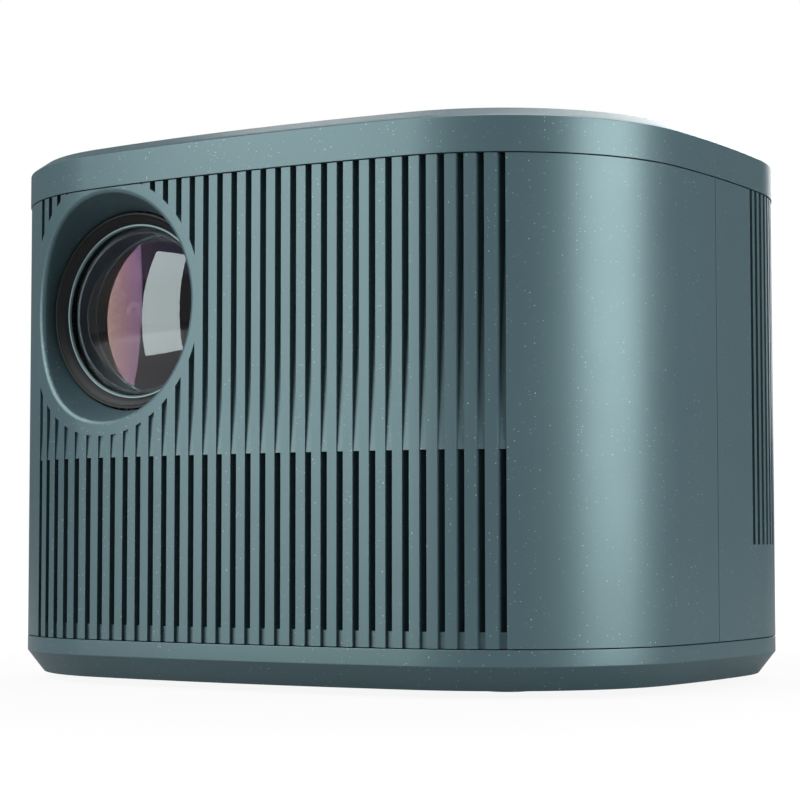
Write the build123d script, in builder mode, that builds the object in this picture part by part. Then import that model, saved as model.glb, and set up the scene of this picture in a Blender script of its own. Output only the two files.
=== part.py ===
"""Projector with a built-in disc drawer, as an assembly of separate pieces.

Millimetres, +Z up. The origin is on the surface the feet stand on, under the middle of the
footprint. The lens looks along -Y and the disc drawer opens along +Y.
"""
from build123d import *
from math import acos, atan2, cos, degrees, hypot, pi, radians, sin, sqrt, tan
import os

# ---------------------------------------------------------------- housing sizes
BODY_WIDTH = 240.0
BODY_DEPTH = 189.0
FRONT_ARC = 538.2          # bow of the front and the rear
SIDE_ARC = 420.3           # bow of the two sides
CORNER_ARC = 66.0          # radius of the four corners
WALL = 2.6
SEAM = 0.3                 # shadow gap between two housing pieces
FOOT_HEIGHT = 2.0          # how far the rubber feet stand proud
BASE_BAND = 4.9            # upright band of the base
BASE_TAPER = 7.1           # height of the chamfer under the band
BASE_INSET = 5.5           # how far the chamfer draws in
COVER_HEIGHT = 143.1
CAP_BAND = 10.5
CAP_CHAMFER = 3.0
CAP_INSET = 4.0
CAP_OVERHANG = 0.3
SIDE_SEAM_Y = -6.4         # where the front and the rear cover meet

BASE_TOP = FOOT_HEIGHT + BASE_TAPER + BASE_BAND
COVER_BOTTOM = BASE_TOP + SEAM
CAP_BOTTOM = BASE_TOP + COVER_HEIGHT
COVER_TOP = CAP_BOTTOM - SEAM
CAP_EDGE = CAP_BOTTOM + CAP_BAND
CAP_TOP = CAP_EDGE + CAP_CHAMFER
CAP_PLATE = 3.0
FRONT_Y = -BODY_DEPTH / 2
REAR_Y = BODY_DEPTH / 2

# ---------------------------------------------------------------- front grille
SLOT_PITCH = 5.383
SLOT_WIDTH = 2.2
SLOT_COUNT = 33
SLOT_MIDDLE_X = 1.0
GRILLE_WALL = 8.6          # thickness of the ribbed panel
SLOT_DEEP = 6.0            # depth of a closed slot at the cap
SLOT_SHALLOW = 0.35        # its depth where it ends above the open slots
GRILLE_STEP = 57.3         # height of that step above the base seam
GRILLE_LIP = 5.0           # height of the closed lip under the open slots
LIP_DEPTH = 1.2

# ---------------------------------------------------------------- lens
LENS_X = -52.84
LENS_HEIGHT = 105.15       # lens axis above the base seam
LENS_Z = BASE_TOP + LENS_HEIGHT
RIM_RADIUS = 36.4          # mouth of the funnel where the front face is at RIM_Y
RIM_ROUND = 1.6            # rounding of the funnel's mouth
RING_RADIUS = 41.0         # flat ring that ends the slots
THROAT_RADIUS = 32.3
FUNNEL_WALL = 2.4
RIM_Y = FRONT_Y + 2.5
THROAT_Y = FRONT_Y + 16.5
FUNNEL_END_Y = FRONT_Y + 19.5
BARREL_RADIUS = 31.6
BARREL_FRONT_Y = FRONT_Y + 17.0
BARREL_SHOULDER_Y = FRONT_Y + 30.5
BARREL_STEM_RADIUS = 28.6
BARREL_END_Y = -8.0
GLASS_RADIUS = 27.6
GLASS_SEAT_Y = FRONT_Y + 21.3
GLASS_CURVE = 75.0
FOCUS_TRAVEL = 3.0
SLIDE_GAP = 0.3            # gap between bodies that slide on each other
SHAFT_GAP = 0.05           # radial clearance of a shaft in its bore

# ---------------------------------------------------------------- focus drive
FOCUS_MODULE = 1.0
FOCUS_RING_TEETH = round(2 * (BARREL_STEM_RADIUS + 6.4) / FOCUS_MODULE)
FOCUS_PINION_TEETH = 10
FOCUS_RING_WIDTH = 6.0
FOCUS_DRIVE_ANGLE = -30.0  # direction of the pinion seen from the front, from +X
MOTOR_RADIUS = 6.0
MOTOR_LENGTH = 15.0

# ---------------------------------------------------------------- side vents
VENT_FIRST_ANGLE = -3.0    # about the rear corner's centre, from the side's direction
VENT_STEP_ANGLE = 3.87
VENT_COUNT = 18
VENT_WIDTH = 2.1
VENT_FOOT = 29.8           # lower end above the base seam
VENT_GROOVE = 1.3          # depth of the blind part of a vent
VENT_OPEN_LOW = 52.0       # the vents go right through from here
VENT_OPEN_HIGH = 137.0     # up to here

# ---------------------------------------------------------------- base, posts and frame
BASE_FLOOR = 2.6
FOOT_RADIUS = 8.0
FOOT_X = 68.0
FOOT_Y = 46.0
POST_X = BODY_WIDTH / 2 - 16.0
POST_Y = 22.0
POST_RADIUS = 4.5
SCREW_HOLE = 1.6
SCREW_HEAD = 3.2
INSERT_RADIUS = 5.5
INSERT_HOLE = 3.175        # quarter-inch tripod thread
INSERT_LENGTH = 9.0
CEILING_SPACING_X = 100.0
CEILING_SPACING_Y = 60.0
CEILING_HOLE = 2.0
FRAME_BOTTOM = 78.5
FRAME_PLATE = 2.5
FRAME_INSET = 9.4
INTAKE_HOLE = 7.0          # holes over the panel fan
INTAKE_PITCH = 9.0
CABLE_HOLE_X = 75.0
CABLE_HOLE_Y = -45.0
CABLE_HOLE_LENGTH = 22.0
CABLE_HOLE_WIDTH = 14.0
STUD_RADIUS = 3.0          # studs under the boards

# ---------------------------------------------------------------- keys on the cap
KEY_TRAVEL = 0.5
KEY_PROUD = 0.6
KEY_GAP = 0.35
KEY_FLANGE = 1.2
KEY_PAD_Y = -38.0
OK_RADIUS = 8.0
ARROW_INNER = 10.0
ARROW_OUTER = 21.0
ARROW_SPREAD = 76.0        # angle that one arrow key covers
POWER_RADIUS = 7.0
POWER_X = 44.0
KEYPAD_THICK = 1.6
DOME_HEIGHT = 0.6

# ---------------------------------------------------------------- disc loader
TRAY_TRAVEL = 133.0
TRAY_HALF_WIDTH = 65.0
TRAY_BACK_Y = FRONT_Y + 14.5
TRAY_FRONT_Y = REAR_Y - 7.5
TRAY_BOTTOM = 60.0
TRAY_FLOOR = 1.6
TRAY_RIM = 5.5
WELL_RADIUS = 60.75        # a 120 mm disc and its clearance
WELL_MARGIN = 2.75         # tray left behind the disc well
DISC_Y = TRAY_FRONT_Y - WELL_MARGIN - WELL_RADIUS
SMALL_WELL_RADIUS = 40.6   # an 80 mm disc
SMALL_WELL_DEPTH = 0.5
TRAY_SLOT = 19.5           # half width of the slot for the turntable and the pickup
TAIL_Y = -41.0
CHASSIS_HALF_WIDTH = 70.0
CHASSIS_WALL = 2.7
CHASSIS_REAR_Y = TRAY_FRONT_Y - 1.0
CHASSIS_FRONT_Y = TRAY_BACK_Y + 1.0
PIVOT_Y = DISC_Y - 73.5    # axis on which the traverse swings down
CHASSIS_STEP_Y = PIVOT_Y - 6.0
CHASSIS_BOTTOM = 44.0
CHASSIS_DECK = 2.0
CHASSIS_STEP_Z = 58.6
LEDGE_WIDTH = 7.0
LEDGE_THICK = 2.0
BEZEL_HALF_WIDTH = 68.0
BEZEL_BOTTOM = 56.0
BEZEL_TOP = 71.0
BEZEL_GAP = 0.4

RACK_MODULE = 1.0
PINION_TEETH = 14
WHEEL_MODULE = 0.8
WHEEL_TEETH = 40
PULLEY_GEAR_TEETH = 10
BACKLASH = 0.3
DRIVE_X = 44.0
DRIVE_Y = TRAY_FRONT_Y - 25.0
AXLE_RADIUS = 1.5
PULLEY_RADIUS = 11.0
MOTOR_PULLEY_RADIUS = 3.0
MOTOR_PULLEY_X = -20.0
MOTOR_PULLEY_Y = DRIVE_Y + 2.0
PULLEY_BOTTOM = 47.0
PULLEY_WIDTH = 3.2
BELT_SIZE = 1.2
WHEEL_BOTTOM = 51.0
WHEEL_WIDTH = 3.0
PINION_BOTTOM = 56.4
PINION_WIDTH = 3.0
LOADING_MOTOR_RADIUS = 12.2
LOADING_MOTOR_HEIGHT = 12.0

PIVOT_Z = 52.0
TRAVERSE_DROP = 6.0        # how far the spindle goes down
TRAVERSE_HALF_WIDTH = 38.0
TRAVERSE_FRONT_Y = DISC_Y + 18.0
TRAVERSE_BAR_Y = DISC_Y - 13.5   # cross bar behind the sled
TRAVERSE_BAR = 4.0
TRAVERSE_BOTTOM = 49.0
TRAVERSE_RAIL = 4.0
TRAVERSE_PLATE = 2.0
ROD_RADIUS = 1.5
ROD_X = 26.0
ROD_Z = 55.0
SCREW_X = 32.0
SCREW_MOTOR_RADIUS = 3.0
SLED_START_Y = DISC_Y - 24.2
SLED_HALF_WIDTH = 22.0
SLED_HALF_LENGTH = 10.0
SPINDLE_RADIUS = 1.5
SPINDLE_MOTOR_RADIUS = 12.0
SPINDLE_MOTOR_HEIGHT = 6.0
TABLE_RADIUS = 15.0
TABLE_TOP = 62.9
TABLE_THICK = 2.0
HUB_RADIUS = 7.4
HUB_HEIGHT = 2.2
BRIDGE_Z = 75.0
BRIDGE_THICK = 1.2
BRIDGE_HALF_DEPTH = 17.0
PUCK_RADIUS = 13.0
PUCK_FLANGE = 15.5
CAM_TRAVEL = 12.0
CAM_LOW_X = -30.0
CAM_HIGH_X = 16.0
CAM_CLEARANCE = 2.0
CAM_BEAM = 1.4
CAM_THICK = 3.0
CAM_PIN_RADIUS = 1.5
CAM_PIN_X = -8.0
CAM_PIN_Z = 56.2

# ---------------------------------------------------------------- light engine and cooling
LIGHT_Y = 38.0             # middle of the light path behind the lens
ENGINE_HALF = 32.0         # half the clear width of the light path
ENGINE_WALL = 2.0
ENGINE_BOTTOM = 89.0
ENGINE_TOP = 149.0
ENGINE_RIGHT_X = 30.0
MIRROR_THICK = 2.0
PANEL_X = -8.0
PANEL_HALF_Y = 31.5
PANEL_HALF_Z = 27.0
FRESNEL_GAP = 8.0
CONDENSER_RADIUS = 22.0
LED_HALF = 20.0
SINK_BASE = 4.0
SINK_LENGTH = 36.0
SINK_FINS = 13
FIN_THICK = 1.2
FAN_SIZE = 60.0
FAN_DEPTH = 15.0
LCD_FAN_SIZE = 40.0
LCD_FAN_DEPTH = 7.2
BLADES = 7

# ---------------------------------------------------------------- sound and electronics
SPEAKER_X = 45.0
SPEAKER_Z = 36.0
SPEAKER_SIZE = 40.0
SPEAKER_FRONT_Y = FRONT_Y + 14.0
SPEAKER_DEPTH = 20.0
SPEAKER_BOSS = 16.5
BOARD_TOP = 20.0
BOARD_THICK = 1.6
JACK_WALL_Y = REAR_Y - 8.5    # outer face of the recessed jack panel
BOARD_FRONT_Y = JACK_WALL_Y - 56.0
PSU_X = -BODY_WIDTH / 2 + 40.0
PSU_Y = -5.0
PSU_WIDTH = 36.0
PSU_LENGTH = 74.0
TRANSFORMER = (24.0, 22.0, 17.0)
PSU_SINK = (2.5, 34.0, 18.0)
JACK_WALL = 2.0
JACK_HALF_WIDTH = 57.0
JACK_LOW = 17.0
JACK_HIGH = 36.0
HDMI_X = (46.0, 26.0)
USB_X = (8.0, -9.0)
AV_X = (-23.0, -31.0)
INLET_X = -45.0
INLET_WIDTH = 20.0
INLET_HEIGHT = 11.0
EJECT_ANGLE = 21.0         # on the rear corner's arc, turned from +Y towards +X
EJECT_Z = 63.5
EJECT_RADIUS = 3.6
EJECT_LENGTH = 5.0

os.makedirs("parts", exist_ok=True)


def save(name, builder):
    """Label a finished piece and write it."""
    builder.part.label = name
    export_step(builder.part, "parts/" + name + ".step")


# ---------------------------------------------------------------- shared shapes
def corner_centre():
    """Centre of the front right corner arc, which meets the front and the side arc tangentially."""
    front_y = -BODY_DEPTH / 2 + FRONT_ARC
    side_x = BODY_WIDTH / 2 - SIDE_ARC
    front_reach = FRONT_ARC - CORNER_ARC
    side_reach = SIDE_ARC - CORNER_ARC
    gap = hypot(side_x, front_y)
    along = (front_reach ** 2 - side_reach ** 2 + gap ** 2) / (2 * gap)
    across = sqrt(front_reach ** 2 - along ** 2)
    unit_x = side_x / gap
    unit_y = -front_y / gap
    return (unit_x * along - unit_y * across, front_y + unit_y * along + unit_x * across)


CORNER_X, CORNER_Y = corner_centre()


def outline(inset=0.0):
    """Footprint of the housing, drawn in by an inset; negative insets stand proud."""
    front_y = -BODY_DEPTH / 2 + FRONT_ARC
    side_x = BODY_WIDTH / 2 - SIDE_ARC
    front_angle = atan2(CORNER_Y - front_y, CORNER_X)
    side_angle = atan2(CORNER_Y, CORNER_X - side_x)
    middle_angle = (front_angle + side_angle) / 2

    def on_front(angle):
        reach = FRONT_ARC - inset
        return (reach * cos(angle), front_y + reach * sin(angle))

    def on_corner(angle):
        reach = CORNER_ARC - inset
        return (CORNER_X + reach * cos(angle), CORNER_Y + reach * sin(angle))

    def on_side(angle):
        reach = SIDE_ARC - inset
        return (side_x + reach * cos(angle), reach * sin(angle))

    with BuildSketch() as face:
        with BuildLine():
            ThreePointArc(on_front(-pi / 2), on_front((front_angle - pi / 2) / 2), on_front(front_angle))
            ThreePointArc(on_corner(front_angle), on_corner(middle_angle), on_corner(side_angle))
            ThreePointArc(on_side(side_angle), on_side(side_angle / 2), on_side(0))
            mirror(about=Plane.YZ)
            mirror(about=Plane.XZ)
        make_face()
    return face.sketch


STANDING = (Align.CENTER, Align.CENTER, Align.MIN)


def block(low, high):
    """Box between two corners, as a free solid."""
    size = [high[i] - low[i] for i in range(3)]
    middle = [(high[i] + low[i]) / 2 for i in range(3)]
    return Pos(*middle) * Box(*size, mode=Mode.PRIVATE)


def slab(sketch, low, high):
    """A flat outline raised between two heights, as a free solid."""
    with BuildPart() as solid:
        with BuildSketch(Plane.XY.offset(low)):
            add(sketch)
        extrude(amount=high - low)
    return solid.part


def tapered(low_inset, low, high_inset, high):
    """Housing outline lofted between two insets, as a free solid."""
    with BuildPart() as solid:
        with BuildSketch(Plane.XY.offset(low)):
            add(outline(low_inset))
        with BuildSketch(Plane.XY.offset(high)):
            add(outline(high_inset))
        loft(ruled=True)
    return solid.part


LENS_SECTION = Plane(origin=(LENS_X, 0, LENS_Z), x_dir=(1, 0, 0), z_dir=(0, 0, 1))
LENS_AXIS = Axis((LENS_X, 0, LENS_Z), (0, 1, 0))


def turned(points):
    """Closed (radius, y) profile turned about the lens axis, as a free solid."""
    with BuildPart() as solid:
        with BuildSketch(LENS_SECTION):
            with BuildLine():
                Polyline(*points, close=True)
            make_face()
        revolve(axis=LENS_AXIS)
    return solid.part


def involute(angle):
    return tan(angle) - angle


def gear_face(teeth, module, first_angle=0.0):
    """Toothed outline with 20 degree flanks; a tooth points along first_angle in degrees."""
    pitch_radius = teeth * module / 2
    base_radius = pitch_radius * cos(radians(20))
    root_radius = pitch_radius - 1.2 * module
    tip_radius = pitch_radius + 0.85 * module
    pitch_half = (pi * module - BACKLASH) / (4 * pitch_radius)

    def half_angle(radius):
        pressure = acos(min(1.0, base_radius / radius))
        return pitch_half + involute(radians(20)) - involute(pressure)

    points = []
    for tooth in range(teeth):
        middle = radians(first_angle) + 2 * pi * tooth / teeth
        for radius, side in ((root_radius, -1), (tip_radius, -1), (tip_radius, 1), (root_radius, 1)):
            angle = middle + side * half_angle(radius)
            points.append((radius * cos(angle), radius * sin(angle)))
    with BuildSketch() as face:
        with BuildLine():
            Polyline(*points, close=True)
        make_face()
    return face.sketch


def fan_frame(size, depth, plate, hub_radius):
    """Square axial fan frame about +Z from z = 0, with its hub and four struts at the top."""
    bore = size / 2 - 2
    corner_hole = size / 2 - size * 0.085
    strut = size * 0.04
    with BuildPart() as frame:
        with BuildSketch():
            RectangleRounded(size, size, size * 0.07)
            Circle(bore, mode=Mode.SUBTRACT)
            with GridLocations(2 * corner_hole, 2 * corner_hole, 2, 2):
                Circle(size * 0.03, mode=Mode.SUBTRACT)
        extrude(amount=depth)
        with BuildSketch(Plane.XY.offset(depth - plate)):
            Circle(hub_radius)
            with PolarLocations(0, 4, start_angle=45):
                Rectangle(bore + strut, strut, align=(Align.MIN, Align.CENTER))
            Circle(bore + strut / 2, mode=Mode.INTERSECT)
        extrude(amount=plate)
        with BuildSketch(Plane.XY.offset(depth - plate)):
            Circle(AXLE_RADIUS)
        extrude(amount=-(depth - plate) / 2)
    return frame.part


def fan_impeller(size, depth, plate, hub_radius):
    """Bladed rotor that runs on the pin of fan_frame."""
    height = depth - plate - 2 * SLIDE_GAP
    tip = size / 2 - 2 - 2 * SLIDE_GAP
    blade_thick = 0.04 * tip + 0.3
    with BuildPart() as blade:
        for radius, pitch in ((hub_radius - 0.6, 52), (tip, 30)):
            chord = (height - blade_thick) / sin(radians(pitch)) - blade_thick / tan(radians(pitch))
            with BuildSketch(Plane(origin=(radius, 0, height / 2), x_dir=(0, 1, 0), z_dir=(1, 0, 0))):
                Rectangle(chord, blade_thick, rotation=pitch)
        loft()
        Cylinder(tip, 4 * depth, mode=Mode.INTERSECT)
    with BuildPart() as rotor:
        Cylinder(hub_radius, height, align=STANDING)
        with PolarLocations(0, BLADES):
            add(blade.part)
        with Locations((0, 0, height)):
            Cylinder(AXLE_RADIUS + SHAFT_GAP, 2 * (height - 1.5), mode=Mode.SUBTRACT)
    return rotor.part.moved(Location((0, 0, SLIDE_GAP)))


# ---------------------------------------------------------------- housing
GRILLE_STEP_Z = BASE_TOP + GRILLE_STEP
LIP_TOP = BASE_TOP + GRILLE_LIP
GRILLE_HALF = SLOT_PITCH * (SLOT_COUNT - 1) / 2 + SLOT_WIDTH / 2 + 2.4

with BuildPart() as base_tray:
    add(tapered(BASE_INSET, FOOT_HEIGHT, 0, FOOT_HEIGHT + BASE_TAPER))
    with BuildSketch(Plane.XY.offset(FOOT_HEIGHT + BASE_TAPER)):
        add(outline())
    extrude(amount=BASE_BAND)
    cavity_floor = FOOT_HEIGHT + BASE_FLOOR
    add(tapered(BASE_INSET + WALL, cavity_floor, WALL, FOOT_HEIGHT + BASE_TAPER), mode=Mode.SUBTRACT)
    add(slab(outline(WALL), FOOT_HEIGHT + BASE_TAPER, BASE_TOP + 1), mode=Mode.SUBTRACT)
    with BuildSketch(Plane.XY.offset(FOOT_HEIGHT)):
        with GridLocations(2 * POST_X, 2 * POST_Y, 2, 2):
            Circle(POST_RADIUS)
    extrude(amount=FRAME_BOTTOM - FOOT_HEIGHT)
    with BuildSketch(Plane.XY.offset(FOOT_HEIGHT)):
        with GridLocations(CEILING_SPACING_X, CEILING_SPACING_Y, 2, 2):
            Circle(CEILING_HOLE + 2.0)
        Circle(INSERT_RADIUS + 2.0)
    extrude(amount=INSERT_LENGTH + 1.5)
    with BuildSketch(Plane.XY.offset(cavity_floor)):
        with Locations(*[(x, y) for x in (-50, 50) for y in (BOARD_FRONT_Y + 6, JACK_WALL_Y - 6)]):
            Circle(STUD_RADIUS)
        with Locations((PSU_X, PSU_Y)):
            with GridLocations(PSU_WIDTH - 8, PSU_LENGTH - 8, 2, 2):
                Circle(STUD_RADIUS)
    extrude(amount=BOARD_TOP - BOARD_THICK - cavity_floor)
    with BuildSketch(Plane.XY.offset(FOOT_HEIGHT)):
        with GridLocations(2 * FOOT_X, 2 * FOOT_Y, 2, 2):
            Circle(FOOT_RADIUS + 0.1)
    extrude(amount=1.0, mode=Mode.SUBTRACT)
    with BuildSketch(Plane.XY.offset(FOOT_HEIGHT)):
        Circle(INSERT_RADIUS)
        with GridLocations(CEILING_SPACING_X, CEILING_SPACING_Y, 2, 2):
            Circle(CEILING_HOLE)
    extrude(amount=INSERT_LENGTH, mode=Mode.SUBTRACT)
    with BuildSketch(Plane.XY.offset(FOOT_HEIGHT)):
        with GridLocations(2 * POST_X, 2 * POST_Y, 2, 2):
            Circle(SCREW_HEAD)
    extrude(amount=8.0, mode=Mode.SUBTRACT)
    with BuildSketch(Plane.XY.offset(FOOT_HEIGHT)):
        with GridLocations(2 * POST_X, 2 * POST_Y, 2, 2):
            Circle(SCREW_HOLE)
    extrude(amount=FRAME_BOTTOM, mode=Mode.SUBTRACT)
save("base_tray", base_tray)

with BuildPart() as feet:
    with BuildSketch():
        with GridLocations(2 * FOOT_X, 2 * FOOT_Y, 2, 2):
            Circle(FOOT_RADIUS)
    extrude(amount=FOOT_HEIGHT + 1.0)
    chamfer(feet.faces().sort_by(Axis.Z)[:4].edges(), 0.5)
save("feet", feet)

with BuildPart() as mount_insert:
    with BuildSketch(Plane.XY.offset(FOOT_HEIGHT)):
        Circle(INSERT_RADIUS)
        Circle(INSERT_HOLE, mode=Mode.SUBTRACT)
    extrude(amount=INSERT_LENGTH)
save("mount_insert", mount_insert)

with BuildPart() as base_screws:
    with BuildSketch(Plane.XY.offset(FOOT_HEIGHT + 8.0)):
        with GridLocations(2 * POST_X, 2 * POST_Y, 2, 2):
            Circle(SCREW_HEAD - 0.3)
    extrude(amount=-2.0)
    with BuildSketch(Plane.XY.offset(FOOT_HEIGHT + 8.0)):
        with GridLocations(2 * POST_X, 2 * POST_Y, 2, 2):
            Circle(SCREW_HOLE - 0.1)
    extrude(amount=FRAME_BOTTOM + FRAME_PLATE - FOOT_HEIGHT - 8.0)
save("base_screws", base_screws)

with BuildPart() as grille_cutter:
    for low, high in ((BASE_TOP, LIP_TOP), (LIP_TOP, GRILLE_STEP_Z), (GRILLE_STEP_Z, CAP_BOTTOM)):
        with BuildSketch(Plane.XY.offset(low)):
            with Locations((SLOT_MIDDLE_X, -BODY_DEPTH / 2)):
                with GridLocations(SLOT_PITCH, 1, SLOT_COUNT, 1):
                    Rectangle(SLOT_WIDTH, BODY_DEPTH / 2)
        extrude(amount=high - low)
    add(slab(outline(LIP_DEPTH), BASE_TOP - 1, LIP_TOP), mode=Mode.SUBTRACT)
    add(tapered(SLOT_SHALLOW, GRILLE_STEP_Z, SLOT_DEEP, CAP_BOTTOM), mode=Mode.SUBTRACT)
    add(turned([(0, -120), (RING_RADIUS, -120), (RING_RADIUS, 0), (0, 0)]), mode=Mode.SUBTRACT)


def half_wall(rear):
    """Plan of one cover: the thin wall and, at the front, the thicker ribbed panel."""
    with BuildSketch() as wall:
        add(outline())
        add(outline(WALL), mode=Mode.SUBTRACT)
    with BuildSketch() as panel:
        add(outline())
        add(outline(GRILLE_WALL), mode=Mode.SUBTRACT)
        with Locations((SLOT_MIDDLE_X, -BODY_DEPTH / 2)):
            Rectangle(2 * GRILLE_HALF, BODY_DEPTH / 2, mode=Mode.INTERSECT)
    with BuildSketch() as plan:
        add(wall.sketch)
        add(panel.sketch)
        side = Align.MIN if rear else Align.MAX
        seam = SIDE_SEAM_Y + (SEAM / 2 if rear else -SEAM / 2)
        with Locations((0, seam)):
            Rectangle(2 * BODY_WIDTH, BODY_DEPTH, align=(Align.CENTER, side), mode=Mode.INTERSECT)
    return plan.sketch


speaker_corners = [
    (side * SPEAKER_X + dx, SPEAKER_Z + dz)
    for side in (-1, 1)
    for dx in (-SPEAKER_BOSS, SPEAKER_BOSS)
    for dz in (-SPEAKER_BOSS, SPEAKER_BOSS)
]

with BuildPart() as front_cover:
    with BuildSketch(Plane.XY.offset(COVER_BOTTOM)):
        add(half_wall(rear=False))
    extrude(amount=COVER_TOP - COVER_BOTTOM)
    with BuildSketch(Plane.XZ.offset(-SPEAKER_FRONT_Y)):
        with Locations(*speaker_corners):
            Circle(2.4)
    extrude(until=Until.NEXT)
    add(grille_cutter.part, mode=Mode.SUBTRACT)
    front_face_limit = slab(outline(), COVER_BOTTOM, COVER_TOP)
    funnel_outer = [
        (0, 2 * FRONT_Y), (RIM_RADIUS + FUNNEL_WALL, 2 * FRONT_Y), (RIM_RADIUS + FUNNEL_WALL, RIM_Y + 6),
        (THROAT_RADIUS + FUNNEL_WALL, THROAT_Y), (THROAT_RADIUS + FUNNEL_WALL, FUNNEL_END_Y),
        (0, FUNNEL_END_Y),
    ]
    add(turned(funnel_outer) & front_face_limit)
    flare = (RIM_RADIUS - THROAT_RADIUS) / (THROAT_Y - RIM_Y)
    mouth_y = FRONT_Y - 10
    mouth_radius = RIM_RADIUS + flare * (RIM_Y - mouth_y)
    add(turned([
        (0, mouth_y), (mouth_radius, mouth_y), (THROAT_RADIUS, THROAT_Y), (THROAT_RADIUS, 0), (0, 0),
    ]), mode=Mode.SUBTRACT)
    cone = front_cover.faces().filter_by(GeomType.CONE).sort_by(SortBy.AREA)[-1]
    fillet(cone.edges().group_by(Axis.Y)[0], RIM_ROUND)
save("front_cover", front_cover)

with BuildPart() as vent_cutter:
    vent_foot = BASE_TOP + VENT_FOOT
    for low, high, reach in (
        (vent_foot, CAP_BOTTOM, CORNER_ARC - VENT_GROOVE),
        (BASE_TOP + VENT_OPEN_LOW, BASE_TOP + VENT_OPEN_HIGH, CORNER_ARC - 2 * WALL),
    ):
        with BuildSketch(Plane(origin=(CORNER_X, -CORNER_Y, low))):
            with PolarLocations(reach, VENT_COUNT, start_angle=VENT_FIRST_ANGLE,
                                angular_range=VENT_STEP_ANGLE * (VENT_COUNT - 1)):
                Rectangle(4 * WALL, VENT_WIDTH, align=(Align.MIN, Align.CENTER))
        extrude(amount=high - low)
    mirror(about=Plane.YZ)

JACK_BLOCK = 2.0
eject_towards = (sin(radians(EJECT_ANGLE)), cos(radians(EJECT_ANGLE)), 0)
EJECT_PLANE = Plane(
    origin=(CORNER_X + CORNER_ARC * eject_towards[0], -CORNER_Y + CORNER_ARC * eject_towards[1], EJECT_Z),
    x_dir=(0, 0, 1), z_dir=eject_towards,
)
with BuildPart() as rear_cover:
    with BuildSketch(Plane.XY.offset(COVER_BOTTOM)):
        add(half_wall(rear=True))
    extrude(amount=COVER_TOP - COVER_BOTTOM)
    add(vent_cutter.part, mode=Mode.SUBTRACT)
    jack_frame = block(
        (-JACK_HALF_WIDTH - JACK_BLOCK, JACK_WALL_Y - JACK_WALL, JACK_LOW - JACK_BLOCK),
        (JACK_HALF_WIDTH + JACK_BLOCK, BODY_DEPTH, JACK_HIGH + JACK_BLOCK),
    )
    add(jack_frame & slab(outline(WALL / 2), COVER_BOTTOM, COVER_TOP))
    with BuildSketch(Plane.XZ.offset(-JACK_WALL_Y)):
        with Locations((0, (JACK_LOW + JACK_HIGH) / 2)):
            RectangleRounded(2 * JACK_HALF_WIDTH, JACK_HIGH - JACK_LOW, 3.0)
    extrude(amount=-BODY_DEPTH, mode=Mode.SUBTRACT)
    with BuildSketch(Plane.XZ.offset(-JACK_WALL_Y)):
        with Locations(*[(x, BOARD_TOP + 3.3) for x in HDMI_X]):
            Rectangle(16.0, 7.0)
        with Locations(*[(x, BOARD_TOP + 3.7) for x in USB_X]):
            Rectangle(14.6, 8.0)
        with Locations(*[(x, BOARD_TOP + 3.2) for x in AV_X]):
            Circle(3.3)
        with Locations((INLET_X, BOARD_TOP + INLET_HEIGHT / 2)):
            Rectangle(INLET_WIDTH + 0.8, INLET_HEIGHT + 0.8)
    extrude(amount=JACK_WALL, mode=Mode.SUBTRACT)
    with BuildSketch(Plane.XZ):
        with Locations((0, (BEZEL_BOTTOM + BEZEL_TOP) / 2)):
            Rectangle(2 * (BEZEL_HALF_WIDTH + BEZEL_GAP), BEZEL_TOP - BEZEL_BOTTOM + 2 * BEZEL_GAP)
    extrude(amount=-BODY_DEPTH, mode=Mode.SUBTRACT)
    with BuildSketch(EJECT_PLANE):
        Circle(EJECT_RADIUS + KEY_GAP)
    extrude(amount=3 * WALL, both=True, mode=Mode.SUBTRACT)
save("rear_cover", rear_cover)

with BuildPart() as mid_frame:
    with BuildSketch(Plane.XY.offset(FRAME_BOTTOM)):
        add(outline(FRAME_INSET))
        with GridLocations(2 * POST_X, 2 * POST_Y, 2, 2):
            Circle(SCREW_HOLE, mode=Mode.SUBTRACT)
        with Locations((PANEL_X, LIGHT_Y)):
            with GridLocations(INTAKE_PITCH, INTAKE_PITCH, 4, 4):
                RectangleRounded(INTAKE_HOLE, INTAKE_HOLE, 1, mode=Mode.SUBTRACT)
        with Locations((-CABLE_HOLE_X, CABLE_HOLE_Y), (CABLE_HOLE_X, CABLE_HOLE_Y)):
            RectangleRounded(CABLE_HOLE_LENGTH, CABLE_HOLE_WIDTH, 4, mode=Mode.SUBTRACT)
    extrude(amount=FRAME_PLATE)
save("mid_frame", mid_frame)


# ---------------------------------------------------------------- cap and keys
def key_face(grow=0.0):
    """Plan of one upward arrow key: a part of a ring, centred on the pad."""
    half = radians(ARROW_SPREAD / 2)
    with BuildSketch() as face:
        with BuildLine():
            inner = ARROW_INNER - grow
            outer = ARROW_OUTER + grow
            turn = half + grow / inner
            wide = half + grow / outer
            ThreePointArc((-inner * sin(turn), inner * cos(turn)), (0, inner),
                          (inner * sin(turn), inner * cos(turn)))
            ThreePointArc((-outer * sin(wide), outer * cos(wide)), (0, outer),
                          (outer * sin(wide), outer * cos(wide)))
            Line((-inner * sin(turn), inner * cos(turn)), (-outer * sin(wide), outer * cos(wide)))
            Line((inner * sin(turn), inner * cos(turn)), (outer * sin(wide), outer * cos(wide)))
        make_face()
    return face.sketch


ARROWS = {"key_up": 0, "key_left": 90, "key_down": 180, "key_right": 270}
KEY_TOP = CAP_TOP + KEY_PROUD
KEY_PLATE_BOTTOM = CAP_TOP - CAP_PLATE
BOARD_DOME_TOP = KEY_PLATE_BOTTOM - KEY_FLANGE - KEY_TRAVEL - SLIDE_GAP
LIP_INSET = GRILLE_WALL + SLIDE_GAP
LIP_THICK = 2.0
LIP_DROP = 3.5

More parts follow.
